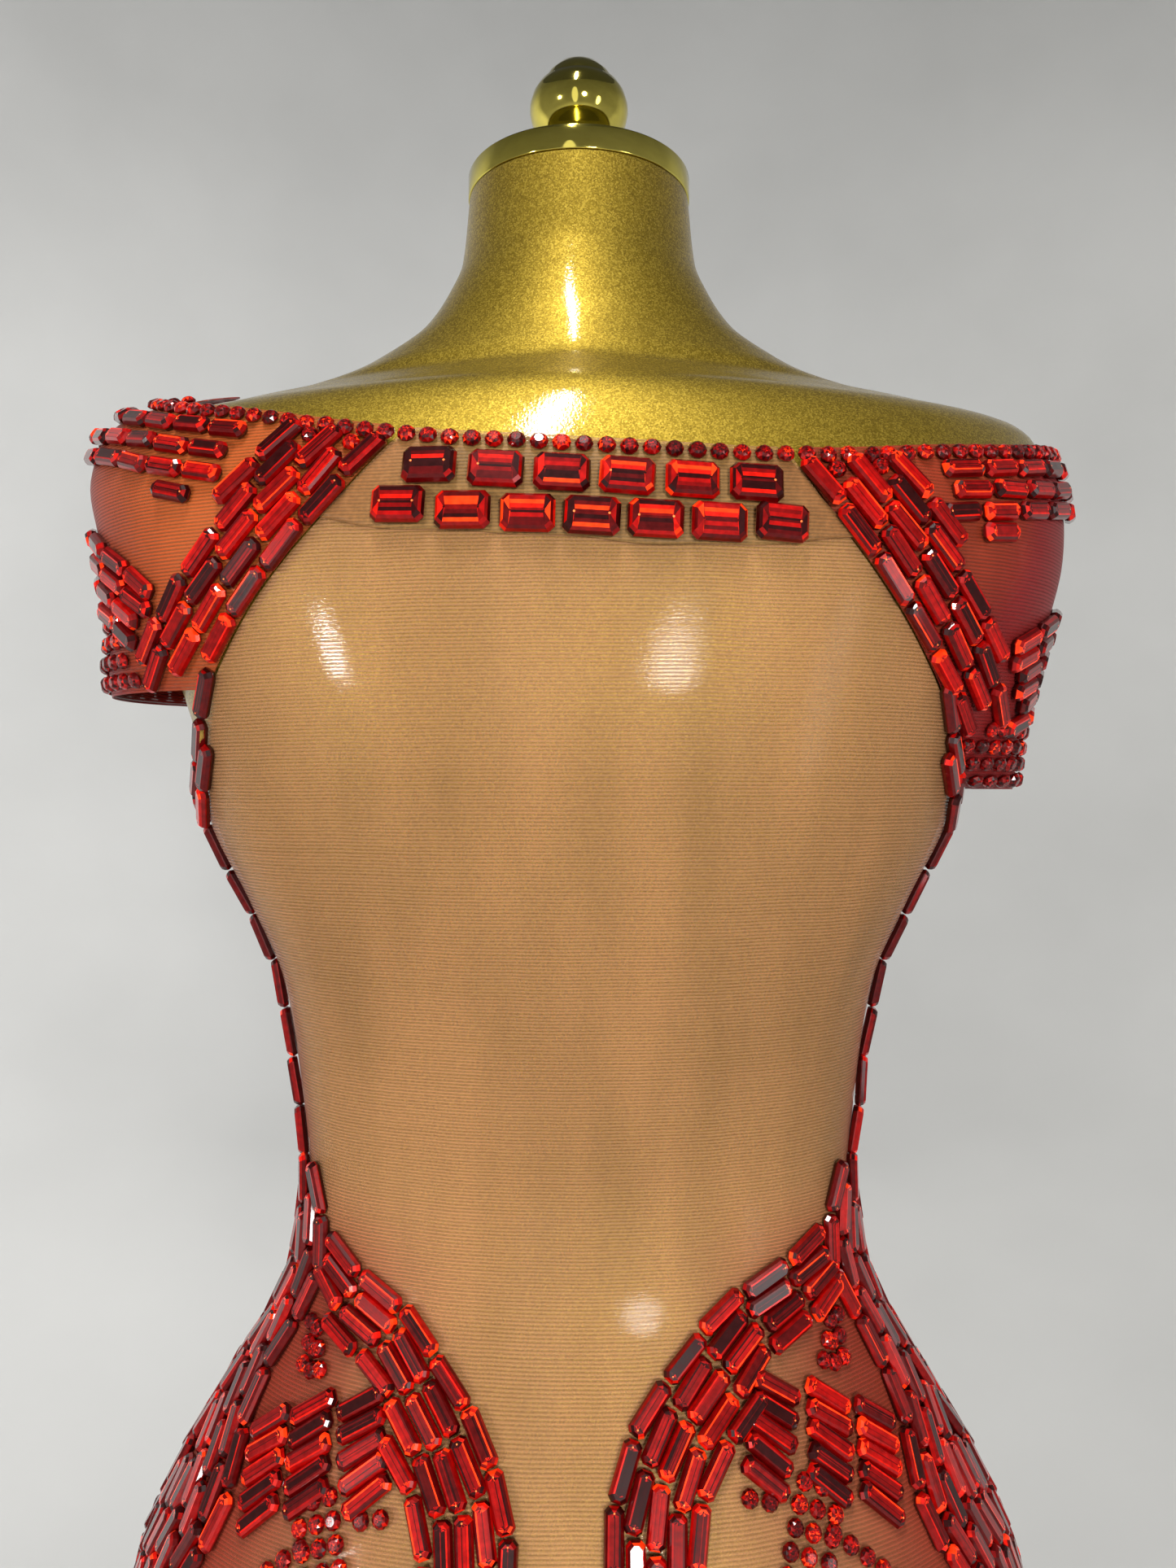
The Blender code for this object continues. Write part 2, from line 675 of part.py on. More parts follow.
def make_raglan_stones(name, cloth, facing, side, finish, collection):
    """The band of stones along one raglan seam, which follows its curve."""
    sign = 1.0 if side == "left" else -1.0
    stations, across = 9, 7
    places = []
    for along in spaced(0.0, 1.0, stations):
        near = mix(RAGLAN["near"], RAGLAN_END[side], along)
        far = mix(RAGLAN["far"], RAGLAN_END[side] - RAGLAN["narrowing"], along)
        near_rise = seam_rise(near) + RAGLAN["lift"]
        far_rise = band_edge_rise(far)
        row = []
        for share in spaced(0.0, 1.0, across):
            turn = mix(near, far, share)
            rise = mix(near_rise, far_rise, share)
            top = neckline(90.0 - turn if facing == 0 else 90.0 + turn)
            rise = min(rise, top - RAGLAN["under_neck"])
            angle = sign * (90.0 - turn) if facing == 0 else sign * (90.0 + turn)
            row.append((rise, angle))
        places.append(row)
    heights = ribbed(stations, across)
    laid(name, cloth, places, heights, LAID_GAP, finish, collection)


def make_shoulder_stones(name, cloth, side, finish, collection):
    """The stones under the neckline over the shoulder, between the two raglan bands."""
    sign = 1.0 if side == "left" else -1.0
    places = []
    columns = SHOULDER["columns"]
    for share in spaced(1.0, 0.0, 4):
        row = []
        for column in range(-columns, columns + 1):
            deepest = mix(SHOULDER["tip_depth"], SHOULDER["end_depth"], abs(column) / columns)
            angle = sign * (90.0 + column * SLEEVE_COLUMN)
            row.append((neckline(angle) - mix(SHOULDER["top_depth"], deepest, share), angle))
        places.append(sorted(row, key=lambda place: place[1]))
    laid(name, cloth, places, ribbed(4, 2 * columns + 1), SHOULDER_GAP[side], finish, collection)


def make_cuff_stones(name, cloth, side, finish, collection):
    """The cluster of stones above the cuff, between the two raglan bands."""
    reach = CUFF_COLUMNS[side]
    columns = range(SLEEVE_COLUMNS - reach, SLEEVE_COLUMNS + reach + 1)
    places = [
        [(cloth.rises[row][column], cloth.angles[column]) for column in columns]
        for row in range(CUFF_ROWS[side])
    ]
    heights = ribbed(CUFF_ROWS[side], 2 * reach + 1)
    laid(name, cloth, places, heights, LAID_GAP, finish, collection)


palette = {
    "gold_paint": ((0.55, 0.36, 0.07), 0.28, 0.85),
    "gold_plate": ((0.75, 0.56, 0.12), 0.08, 1.0),
    "nude_net": ((0.62, 0.40, 0.22), 0.6, 0.0),
    "doubled_net": ((0.45, 0.27, 0.12), 0.6, 0.0),
    "red_net": ((0.50, 0.06, 0.05), 0.6, 0.0),
    "red_stone": ((0.65, 0.01, 0.01), 0.08, 0.0),
}


def main():
    for obj in list(bpy.data.objects):
        bpy.data.objects.remove(obj)
    parts = bpy.data.collections.new("dress_on_form")
    bpy.context.scene.collection.children.link(parts)
    finishes = {name: material(name, *values) for name, values in palette.items()}
    make_torso(finishes["gold_paint"], parts)
    cap_top = make_neck_cap(finishes["gold_plate"], parts)
    make_finial(cap_top, finishes["gold_plate"], parts)
    socket_foot = make_socket(finishes["gold_plate"], parts)
    make_pole(socket_foot, finishes["gold_plate"], parts)
    make_base(finishes["gold_plate"], parts)
    panels = {
        "back": make_panel("back", 0.0, finishes["nude_net"], parts),
        "front": make_panel("front", 180.0, finishes["nude_net"], parts),
    }
    for face, facing in (("back", 0.0), ("front", 180.0)):
        make_neck_band(f"neck_band_{face}", panels[face], facing, finishes["doubled_net"], parts)
    for place, count, depth in NECK_ROWS:
        make_neck_stones(
            f"neck_stones_{place}", panels["back"], count, depth, finishes["red_stone"], parts
        )
    for side, sign in (("left", 1.0), ("right", -1.0)):
        sleeve = make_sleeve(side, finishes["red_net"], parts)
        make_shoulder_stones(
            f"shoulder_stones_{side}", sleeve, side, finishes["red_stone"], parts
        )
        make_cuff_stones(f"cuff_stones_{side}", sleeve, side, finishes["red_stone"], parts)
        for face, facing in (("back", 0.0), ("front", 180.0)):
            turn = sign if face == "back" else -sign
            make_hip_stones(
                f"hip_stones_{face}_{side}", panels[face], facing, turn,
                finishes["red_stone"], parts,
            )
            make_side_stones(
                f"side_stones_{face}_{side}", panels[face], facing, turn,
                finishes["red_stone"], parts,
            )
            make_raglan_stones(
                f"raglan_stones_{face}_{side}", sleeve, facing, side,
                finishes["red_stone"], parts,
            )


main()
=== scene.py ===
import math
import random

import bpy
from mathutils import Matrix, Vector


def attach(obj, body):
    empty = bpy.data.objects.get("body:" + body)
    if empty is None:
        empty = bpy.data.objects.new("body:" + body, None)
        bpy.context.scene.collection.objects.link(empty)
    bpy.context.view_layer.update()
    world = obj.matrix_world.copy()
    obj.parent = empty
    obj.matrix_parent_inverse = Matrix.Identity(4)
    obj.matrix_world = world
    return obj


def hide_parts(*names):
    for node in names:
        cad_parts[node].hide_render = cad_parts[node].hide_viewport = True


# A red and nude stone-set mini dress of stretch net on a gold dress form, seen from behind.
# Metres. Angle 0 is the centre back (+Y), 90 the wearer's left side (+X), 180 the centre front.
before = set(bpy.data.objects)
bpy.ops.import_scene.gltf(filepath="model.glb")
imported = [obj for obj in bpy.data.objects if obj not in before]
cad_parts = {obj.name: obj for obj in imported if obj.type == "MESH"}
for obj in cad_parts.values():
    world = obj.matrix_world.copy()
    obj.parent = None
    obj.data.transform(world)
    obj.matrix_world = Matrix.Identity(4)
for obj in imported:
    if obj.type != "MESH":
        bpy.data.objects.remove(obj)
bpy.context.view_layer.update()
scene = bpy.context.scene

# ---- camera, at the height of the bust line and close to the back
cameraPlace = (-0.004, 0.48, 1.172)
cameraSetup = {
    "lens": 27.03, "shift_x": -0.0003, "shift_y": 0.0003, "sensor_width": 36.0, "clip_start": 0.01,
}
cameraData = bpy.data.cameras.new("camera")
for key, value in cameraSetup.items():
    setattr(cameraData, key, value)
camera = bpy.data.objects.new("camera", cameraData)
camera.location = cameraPlace
camera.rotation_euler = (math.radians(90), 0, math.radians(180))
scene.collection.objects.link(camera)
scene.camera = camera
scene.view_settings.view_transform = "Standard"
print("camera placed")

# ---- the figure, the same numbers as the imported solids
waistHeight = 1.02
hemRise = -0.4
netClearance = 0.001
seamGap = 0.0003
sleeveEase = 0.0012
neckSlope = 0.058
neckTurn = -2.2
hangRise, hangTall = 0.144, 0.125  # where the dress starts to hang askew, and over what height
hipTurn = 2.0
hipSkew = 0.0045  # the hip stones sit this much lower on the left, higher on the right
sideSign = {"left": 1.0, "right": -1.0}
cuffRise = {"left": 0.184, "right": 0.151}

figureRows = (  # rise, half width, middle, back depth, front depth, squareness
    (-0.4, 0.152, 0.0, 0.078, 0.076, 2.2), (-0.32, 0.158, 0.0, 0.085, 0.08, 2.2),
    (-0.26, 0.166, 0.0, 0.095, 0.086, 2.2), (-0.22, 0.172, 0.0, 0.102, 0.091, 2.2),
    (-0.18, 0.1745, 0.0, 0.105, 0.095, 2.2), (-0.152, 0.169, 0.0, 0.102, 0.098, 2.15),
    (-0.12, 0.156, 0.0, 0.093, 0.1, 2.15), (-0.0875, 0.137, 0.0, 0.079, 0.101, 2.1),
    (-0.055, 0.118, 0.0, 0.063, 0.1, 2.1), (-0.032, 0.11, 0.0, 0.055, 0.098, 2.1),
    (0.0, 0.107, 0.0, 0.052, 0.094, 2.1), (0.033, 0.11, 0.0, 0.056, 0.091, 2.1),
    (0.075, 0.1165, 0.0, 0.066, 0.09, 2.15), (0.1075, 0.13, 0.0, 0.075, 0.091, 2.2),
    (0.14, 0.145, 0.0, 0.083, 0.093, 2.25), (0.163, 0.149, 0.0, 0.088, 0.094, 2.3),
    (0.19, 0.157, 0.0, 0.091, 0.092, 2.3), (0.22, 0.167, 0.0, 0.091, 0.087, 2.35),
    (0.25, 0.177, 0.0, 0.088, 0.078, 2.3), (0.272, 0.1845, -0.001, 0.082, 0.068, 2.1),
    (0.287, 0.1855, -0.002, 0.076, 0.061, 1.85), (0.296, 0.18, -0.003, 0.071, 0.057, 1.6),
    (0.3005, 0.17, -0.004, 0.067, 0.054, 1.4), (0.3055, 0.155, -0.005, 0.062, 0.052, 1.3),
    (0.3098, 0.132, -0.006, 0.058, 0.051, 1.32), (0.316, 0.103, -0.008, 0.056, 0.05, 1.6),
    (0.326, 0.082, -0.009, 0.052, 0.049, 1.7), (0.336, 0.066, -0.01, 0.049, 0.048, 1.9),
    (0.353, 0.054, -0.012, 0.047, 0.047, 2.0), (0.366, 0.0486, -0.013, 0.046, 0.046, 2.0),
    (0.3935, 0.0455, -0.013, 0.0455, 0.0455, 2.0),
)
bust = {"reach": 0.032, "apart": 0.074, "wide": 0.044, "rise": 0.142, "tall": 0.046}
seamRows = (  # how far from the side the raglan seam lies, and its rise
    (0.0, 0.144), (17.6, 0.159), (28.7, 0.177), (39.6, 0.1965), (48.2, 0.214),
    (54.6, 0.228), (60.8, 0.243), (67.0, 0.261), (69.5, 0.269),
)
neckRows = (
    (0.0, 0.2682), (14.0, 0.2686), (24.0, 0.2708), (40.0, 0.2782), (52.0, 0.2838), (70.0, 0.2925),
    (90.0, 0.2985), (112.0, 0.2935), (141.0, 0.277), (158.0, 0.268), (180.0, 0.2645),
)
sleeveRows = (  # rise, and how far the left and right sleeves stand out
    (0.148, 0.03, 0.027), (0.175, 0.0285, 0.0225), (0.19, 0.0255, 0.0195),
    (0.213, 0.015, 0.018), (0.24, 0.0105, 0.0165), (0.26, 0.008, 0.0125),
    (0.28, 0.0045, 0.005), (0.2985, 0.001, 0.001),
)


class smoothCurve:  # a smooth curve through points that never overshoots them
    def __init__(self, rows, across=0, up=1):
        self.xs = [row[across] for row in rows]
        self.ys = [row[up] for row in rows]
        steps = [b - a for a, b in zip(self.xs, self.xs[1:])]
        rises = [(b - a) / h for a, b, h in zip(self.ys, self.ys[1:], steps)]
        inner = [
            0.0 if a * b <= 0 else 3 * (g + h) / ((2 * h + g) / a + (h + 2 * g) / b)
            for a, b, g, h in zip(rises, rises[1:], steps, steps[1:])
        ]
        self.slopes = [rises[0], *inner, rises[-1]]

    def __call__(self, x):
        x = min(max(x, self.xs[0]), self.xs[-1])
        i = 0
        while i < len(self.xs) - 2 and x > self.xs[i + 1]:
            i += 1
        h = self.xs[i + 1] - self.xs[i]
        t = (x - self.xs[i]) / h
        a = (2 * t**3 - 3 * t**2 + 1) * self.ys[i] + (t**3 - 2 * t**2 + t) * h * self.slopes[i]
        return a + (3 * t**2 - 2 * t**3) * self.ys[i + 1] + (t**3 - t**2) * h * self.slopes[i + 1]


halfWidth, middleLine, backDepth, frontDepth, squareness = [
    smoothCurve(figureRows, 0, k) for k in range(1, 6)
]
seamRise = smoothCurve(seamRows)
seamFromSide = smoothCurve(seamRows, 1, 0)
neckRise = smoothCurve(neckRows)
standOff = {"left": smoothCurve(sleeveRows, 0, 1), "right": smoothCurve(sleeveRows, 0, 2)}


def mix(a, b, share):
    return a + (b - a) * share


def mixPair(a, b, share):
    return mix(a[0], b[0], share), mix(a[1], b[1], share)


def clamp(x, low=0.0, high=1.0):
    return min(max(x, low), high)


def ease(low, high, x):  # 0 below low, 1 above high, smooth between
    t = clamp((x - low) / (high - low))
    return t * t * (3 - 2 * t)


def bell(distance, spread):
    return math.exp(-0.5 * (distance / spread) ** 2)


def spaced(low, high, count):
    return [mix(low, high, i / (count - 1)) for i in range(count)]


def wrapped(angle):
    return (angle + 180.0) % 360.0 - 180.0


def fromSide(angle):
    return abs(90.0 - abs(wrapped(angle)))


def bustReach(x, rise, bridged):
    upright = bell(rise - bust["rise"], bust["tall"])
    if bridged and abs(x) < bust["apart"]:
        return 1.01 * bust["reach"] * upright
    cups = bell(x - bust["apart"], bust["wide"]) + bell(x + bust["apart"], bust["wide"])
    return bust["reach"] * upright * cups


def figurePoint(rise, angle, bridged=False):
    turn = math.radians(angle)
    square = squareness(rise)
    share = min(abs(math.sin(turn)), 1.0)
    x = halfWidth(rise) * math.sin(turn)
    depth = (1.0 - share**square) ** (1.0 / square)
    if math.cos(turn) > 0:
        y = backDepth(rise) * depth
    else:
        y = -frontDepth(rise) * depth - bustReach(x, rise, bridged) * abs(math.cos(turn))
    return Vector((x, middleLine(rise) + y, waistHeight + rise))


def figureNormal(rise, angle):
    along = figurePoint(rise, angle + 0.6, True) - figurePoint(rise, angle - 0.6, True)
    up = figurePoint(rise + 0.0015, angle, True) - figurePoint(rise - 0.0015, angle, True)
    return up.cross(along).normalized()


def hung(rise, angle):  # the dress hangs a little askew on the form
    hold = clamp((rise - hangRise) / hangTall)
    slope = neckSlope * halfWidth(rise) * math.sin(math.radians(angle))
    return rise + hold * slope, angle + hold * neckTurn


def onBody(rise, angle, out):
    trueRise, trueAngle = hung(rise, angle)
    return figurePoint(trueRise, trueAngle, True) + (netClearance + out) * figureNormal(
        trueRise, trueAngle
    )


def onSleeve(rise, angle, out):
    seam = seamFromSide(rise)
    free = max(1.0 - (fromSide(angle) / seam) ** 2, 0.0) if seam > 0.0 else 0.0
    point = onBody(rise, angle, out + sleeveEase * free)
    side = "left" if wrapped(angle) > 0 else "right"
    point.x += math.copysign(standOff[side](rise) * free, wrapped(angle))
    return point


def neckline(angle):
    return neckRise(abs(wrapped(angle)))


def panelTop(angle):
    if fromSide(angle) >= seamRows[-1][0]:
        return neckline(angle)
    return seamRise(fromSide(angle))


def sleeveFoot(angle, side):
    return max(seamRise(fromSide(angle)) + 3 * seamGap, cuffRise[side])


# ---- materials
def newMaterial(name):
    made = bpy.data.materials.new(name)
    made.use_nodes = True
    nodes = made.node_tree.nodes
    return made, nodes, nodes["Principled BSDF"]


def setValues(node, values):  # joined or fixed inputs, by name or number, or else settings
    for key, value in values.items():
        if not isinstance(key, int) and key not in node.inputs:
            setattr(node, key, value)
        elif isinstance(value, bpy.types.NodeSocket):
            node.id_data.links.new(value, node.inputs[key])
        else:
            node.inputs[key].default_value = value


def addNode(nodes, kind, output, **values):
    node = nodes.new(f"ShaderNode{kind}")
    setValues(node, values)
    return node.outputs[output]


def addNoise(nodes, place, scale, detail):
    return addNode(nodes, "TexNoise", "Fac", Vector=place, Scale=scale, Detail=detail)


def addBump(nodes, height, strength, distance):
    return addNode(nodes, "Bump", "Normal", Height=height, Strength=strength, Distance=distance)


def addRange(nodes, value, toLow, toHigh, fromLow=0.0, fromHigh=1.0):
    return addNode(nodes, "MapRange", "Result", Value=value, **{
        "From Min": fromLow, "From Max": fromHigh, "To Min": toLow, "To Max": toHigh,
    })


def addSum(nodes, kind, value, factor, base):  # the value times the factor, plus the base
    total = addNode(nodes, kind, 0, operation="MULTIPLY_ADD")
    setValues(total.node, {0: value, 1: factor, 2: base})
    return total


def addTones(nodes, value, stops):
    tones = addNode(nodes, "ValToRGB", "Color", Fac=value)
    ramp = tones.node.color_ramp
    while len(ramp.elements) < len(stops):
        ramp.elements.new(0.5)
    for element, (place, color) in zip(ramp.elements, stops):
        element.position = place
        element.color = (*color, 1.0)
    return tones


def makeGoldPaint():
    made, nodes, shader = newMaterial("gold flake paint")
    place = addNode(nodes, "TexCoord", "Object")
    flakes = addNode(nodes, "TexVoronoi", "Color", Vector=place, Scale=1900.0)
    clouds = addNoise(nodes, place, 9.0, 3.0)
    setValues(shader, {
        "Base Color": addTones(nodes, flakes, (
            (0.0, (0.16, 0.103, 0.006)), (0.45, (0.26, 0.175, 0.012)), (1.0, (0.5, 0.36, 0.045)),
        )),
        "Roughness": addRange(nodes, clouds, 0.44, 0.52), "Metallic": 0.85,
        "Normal": addBump(nodes, flakes, 0.3, 0.0002),
        "Coat Weight": 0.6, "Coat Roughness": 0.07, "Coat IOR": 1.45,
        "Coat Normal": addBump(nodes, addNoise(nodes, place, 1000.0, 1.0), 0.4, 0.0001),
    })
    return made


def makeGoldPlate():
    made, nodes, shader = newMaterial("polished gold plate")
    place = addNode(nodes, "TexCoord", "Object")
    stretch = addNode(nodes, "Mapping", "Vector", Vector=place, Scale=(60.0, 60.0, 900.0))
    smears = addNoise(nodes, place, 22.0, 2.0)
    setValues(shader, {
        "Base Color": addTones(nodes, smears, (
            (0.3, (0.5, 0.42, 0.075)), (0.7, (0.66, 0.56, 0.12)),
        )),
        "Roughness": addRange(nodes, smears, 0.04, 0.13), "Metallic": 1.0,
        "Normal": addBump(nodes, addNoise(nodes, stretch, 1.0, 4.0), 0.03, 0.0001),
    })
    return made


def makeNet(name, paleColor, redColor, cover, coverRed, meshScale, meshCover):
    # a sheer knitted net: fine level ribs, dyed from nude to red by the "dye" attribute
    made, nodes, shader = newMaterial(name)
    place = addNode(nodes, "TexCoord", "Object")
    dye = addNode(nodes, "Attribute", "Fac", attribute_name="dye")
    tall = addNode(nodes, "Mapping", "Vector", Vector=place, Scale=(34.0, 34.0, 6.0))
    clouds = addNoise(nodes, tall, 1.0, 2.0)  # painted light and shade: the cloth is lighter and darker in soft streaks that run up and down
    bend = addSum(nodes, "VectorMath", clouds.node.outputs["Color"], (0.0, 0.0, 0.0012), place)
    ribs = addNode(nodes, "TexWave", "Fac", bands_direction="Z", Vector=bend, Scale=250.0,
                   Distortion=0.0)
    threads = addNode(nodes, "Mapping", "Vector", Vector=place, Scale=(9.0, 9.0, 1500.0))
    holes = addNode(nodes, "TexVoronoi", "Distance", Vector=place, Scale=meshScale)
    tint = addNode(nodes, "Mix", 2, data_type="RGBA")
    setValues(tint.node, {0: dye, 6: (*paleColor, 1.0), 7: (*redColor, 1.0)})
    covers = addSum(nodes, "Math", ribs, 0.34, addRange(nodes, dye, cover, coverRed))
    covers = addSum(nodes, "Math", addNoise(nodes, threads, 1.0, 1.0), 0.14, covers)
    setValues(shader, {
        # painted highlights and painted shade along the streaks lighten and darken the dyed colour
        "Base Color": addNode(nodes, "HueSaturation", "Color", Color=tint,
                              Value=addRange(nodes, clouds, 0.86, 1.12, 0.3, 0.7)),
        "Alpha": addSum(nodes, "Math", holes, meshCover, covers),
        "Normal": addBump(nodes, ribs, 0.25, 0.0002),
        "Roughness": 0.5, "Sheen Weight": 0.05, "Specular IOR Level": 0.25,
    })
    return made


def makeStoneRed():
    # cut resin stones with foil behind: each cut face's colour attribute holds the stone's own red
    # mixed with painted glints, painted reflections and painted shade
    made, nodes, shader = newMaterial("red cut stone")
    facetRedAndGlint = addNode(nodes, "Attribute", "Color", attribute_name="facetRedAndGlint")
    depths = addNoise(nodes, addNode(nodes, "TexCoord", "Object"), 420.0, 2.0)
    deep = addNode(nodes, "HueSaturation", "Color", Color=facetRedAndGlint,
                   Value=addRange(nodes, depths, 0.7, 1.25, 0.3, 0.7))
    setValues(shader, {
        # painted light: the stones glow with their painted reds, though they are no lamp
        "Base Color": deep, "Emission Color": deep, "Emission Strength": 0.26,
        "Roughness": addRange(nodes, depths, 0.25, 0.45), "Specular IOR Level": 0.1,
        "Coat Weight": 0.75, "Coat Roughness": 0.05, "Coat IOR": 1.33,
    })
    return made


goldPaint = makeGoldPaint()
goldPlate = makeGoldPlate()
netLooks = {  # nude and red dye, how much each covers, and the mesh's fineness and cover
    "nude stretch net": ((0.49, 0.235, 0.1), (0.26, 0.024, 0.012), 0.07, 0.33, 1500.0, 0.1),
    "doubled net": ((0.3, 0.16, 0.05), (0.26, 0.026, 0.012), 0.26, 0.36, 620.0, 0.34),
    "red stretch net": ((0.46, 0.1, 0.02), (0.2, 0.008, 0.008), 0.28, 0.54, 1500.0, 0.1),
}
nudeNet, doubledNet, redNet = [makeNet(name, *look) for name, look in netLooks.items()]
stoneRed = makeStoneRed()
print("materials made")


# ---- meshes
def newPiece(name, mesh, finish, nodes):
    obj = bpy.data.objects.new(name, mesh)
    obj.data.materials.append(finish)
    scene.collection.objects.link(obj)
    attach(obj, "root")
    if nodes:
        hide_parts(*nodes)
    return obj


def circle(radius, height, steps, turn=0.0, centre=(0.0, 0.0)):
    turns = [2 * math.pi * (i + turn) / steps for i in range(steps)]
    return [(centre[0] + radius * math.cos(a), centre[1] + radius * math.sin(a), height)
            for a in turns]


def ringFaces(count, low):  # between one ring of points and the next one up
    pairs = [(i, (i + 1) % count) for i in range(count)]
    return [(low + i, low + j, low + count + j, low + count + i) for i, j in pairs]


def newMesh(name, points, faces, sharp=180):  # smooth, with edges over the sharp angle kept
    mesh = bpy.data.meshes.new(name)
    mesh.from_pydata(points, [], faces)
    mesh.shade_smooth()
    if sharp < 180:
        mesh.set_sharp_from_angle(angle=math.radians(sharp))
    return mesh


def loftMesh(name, rings):  # a closed smooth solid through rings of points
    points = [point for ring in rings for point in ring]
    n = len(rings[0])
    faces = [face for r in range(len(rings) - 1) for face in ringFaces(n, r * n)]
    faces += [tuple(reversed(range(n))), tuple(range(len(points) - n, len(points)))]
    return newMesh(name, points, faces, 50)


def platePiece(name, node, profile, centre=(0.0, 0.0), steps=96):
    # a turned piece of polished gold from (radius, height) upwards
    rings = [circle(max(radius, 0.00005), height, steps, 0.0, centre)
             for radius, height in profile]
    newPiece(name, loftMesh(name, rings), goldPlate, [node])


def sheetMesh(name, points, dyes, columns, sharp=180):
    # a thin double-faced cloth, from its outer face's rows of points and then its inner face's
    size = len(points) // 2
    rows = size // columns
    faces = []
    for r in range(rows - 1):
        for i in range(columns - 1):
            a, b = r * columns + i, r * columns + i + 1
            c, d = b + columns, a + columns
            faces += [(a, b, c, d), (b + size, a + size, d + size, c + size)]
    for r in range(rows - 1):
        a, d = r * columns, (r + 1) * columns
        b, c = a + columns - 1, d + columns - 1
        faces += [(a + size, a, d, d + size), (b, b + size, c + size, c)]
    for i in range(columns - 1):
        t = (rows - 1) * columns + i
        faces += [(i + size, i + 1 + size, i + 1, i), (t, t + 1, t + 1 + size, t + size)]
    mesh = newMesh(name, points, faces, sharp)
    shade = mesh.color_attributes.new(name="dye", type="FLOAT_COLOR", domain="POINT")
    shade.data.foreach_set("color", [x for dye in dyes for x in (dye, dye, dye, 1.0)])
    return mesh


def netMesh(name, angles, foot, top, rows, surface, dyeAt, crease=None):
    ends = [(angle, foot(angle), top(angle)) for angle in angles]
    points, dyes = [], []
    for out in (netSetup["high"], netSetup["low"]):
        for share in spaced(0.0, 1.0, rows):
            for angle, low, high in ends:
                rise = mix(low, high, share)
                lift = crease(rise, angle) if crease else 0.0
                points.append(surface(rise, angle, out + lift))
                dyes.append(dyeAt(rise, angle))
    return sheetMesh(name, points, dyes, len(angles), 60)


# ---- the dress form
formSetup = {"columns": 120, "levels": 110, "foot": -0.32, "top": 0.3935, "shoulder": 0.27}
neckTop = waistHeight + formSetup["top"]
neckMiddle = (0.0, middleLine(formSetup["top"]))


def makeForm():
    foot, shoulder, top = formSetup["foot"], formSetup["shoulder"], formSetup["top"]
    half, columns = formSetup["levels"] // 2, formSetup["columns"]
    levels = spaced(foot, shoulder, half) + spaced(shoulder, top, half)[1:]
    rings = [[figurePoint(rise, 360.0 * i / columns) for i in reversed(range(columns))]
             for rise in levels]
    newPiece("form_body", loftMesh("form_body", rings), goldPaint, ["torso"])


makeForm()

capSetup = {"radius": 0.046, "height": 0.0095, "lip": 0.0012}


def makeCap():
    foot = neckTop + seamGap
    r, h, lip = capSetup["radius"], capSetup["height"], capSetup["lip"]
    top = foot + h
    profile = [
        (0.0, foot), (r - 0.4 * lip, foot), (r - 0.12 * lip, foot + 0.12 * lip),
        (r, foot + 0.4 * lip), (r, top - 0.4 * lip), (r - 0.12 * lip, top - 0.12 * lip),
        (r - 0.4 * lip, top), (r - 2 * lip, top), (r - 2.4 * lip, top - 0.2 * lip),
        (r - 3 * lip, top - lip), (0.0, top - lip),
    ]
    platePiece("form_cap", "neck_cap", profile, neckMiddle)
    return top - lip


capTop = makeCap()
finialRows = (  # radius and height above the cap
    (0.0, 0.0), (0.0172, 0.0), (0.0172, 0.002), (0.016, 0.004), (0.0128, 0.006),
    (0.0128, 0.017), (0.0132, 0.019), (0.015, 0.0205), (0.0176, 0.023), (0.0196, 0.0262),
    (0.0205, 0.03), (0.0204, 0.033), (0.0192, 0.037), (0.0172, 0.0402), (0.015, 0.0412),
    (0.0146, 0.042), (0.0132, 0.045), (0.0098, 0.0484), (0.005, 0.0506), (0.0, 0.0512),
)
finialProfile = [(radius, capTop + seamGap + height) for radius, height in finialRows]
platePiece("form_finial", "finial", finialProfile, neckMiddle)

standSetup = {
    "poleRadius": 0.0125, "neckWall": 0.006, "socketRadius": 0.032, "socketHeight": 0.045,
    "baseRadius": 0.205, "baseThickness": 0.014, "baseEdge": 0.003,
}


def makeStand():
    pole, base = standSetup["poleRadius"], standSetup["baseRadius"]
    thick, edge = standSetup["baseThickness"], standSetup["baseEdge"]
    top = waistHeight + formSetup["foot"] - seamGap
    foot = top - standSetup["socketHeight"]
    wide, neck = standSetup["socketRadius"], pole + standSetup["neckWall"]
    platePiece("stand_socket", "socket", [
        (0.0, foot), (neck - 0.001, foot), (neck, foot + 0.001), (neck, top - 0.014),
        (neck + 0.002, top - 0.011), (wide - 0.0006, top - 0.008), (wide, top - 0.0074),
        (wide, top - 0.0006), (wide - 0.0006, top), (0.0, top),
    ])
    platePiece("stand_pole", "pole", [
        (0.0, thick + seamGap), (pole, thick + seamGap), (pole, foot - seamGap),
        (0.0, foot - seamGap),
    ])
    platePiece("stand_base", "base", [
        (0.0, 0.0), (base - 0.3 * edge, 0.0), (base, 0.3 * edge), (base, thick - edge),
        (base - 0.3 * edge, thick - 0.5 * edge), (base - edge, thick - 0.2 * edge),
        (base - 2 * edge, thick), (0.0, thick),
    ], steps=144)


makeStand()
print("dress form made")

# ---- the net
netSetup = {"low": 0.0003, "high": 0.0008, "columns": 121, "rows": 150}


def backDye(rise, angle):  # nude in the middle, red towards the sides, hips and hem
    a = abs(wrapped(angle))
    a = min(a, 180.0 - a)
    hips = ease(0.01, -0.05, rise)
    sides = ease(62, 88, a) * 0.8
    return clamp(max(sides, hips * ease(12, 58, a) * 0.95))


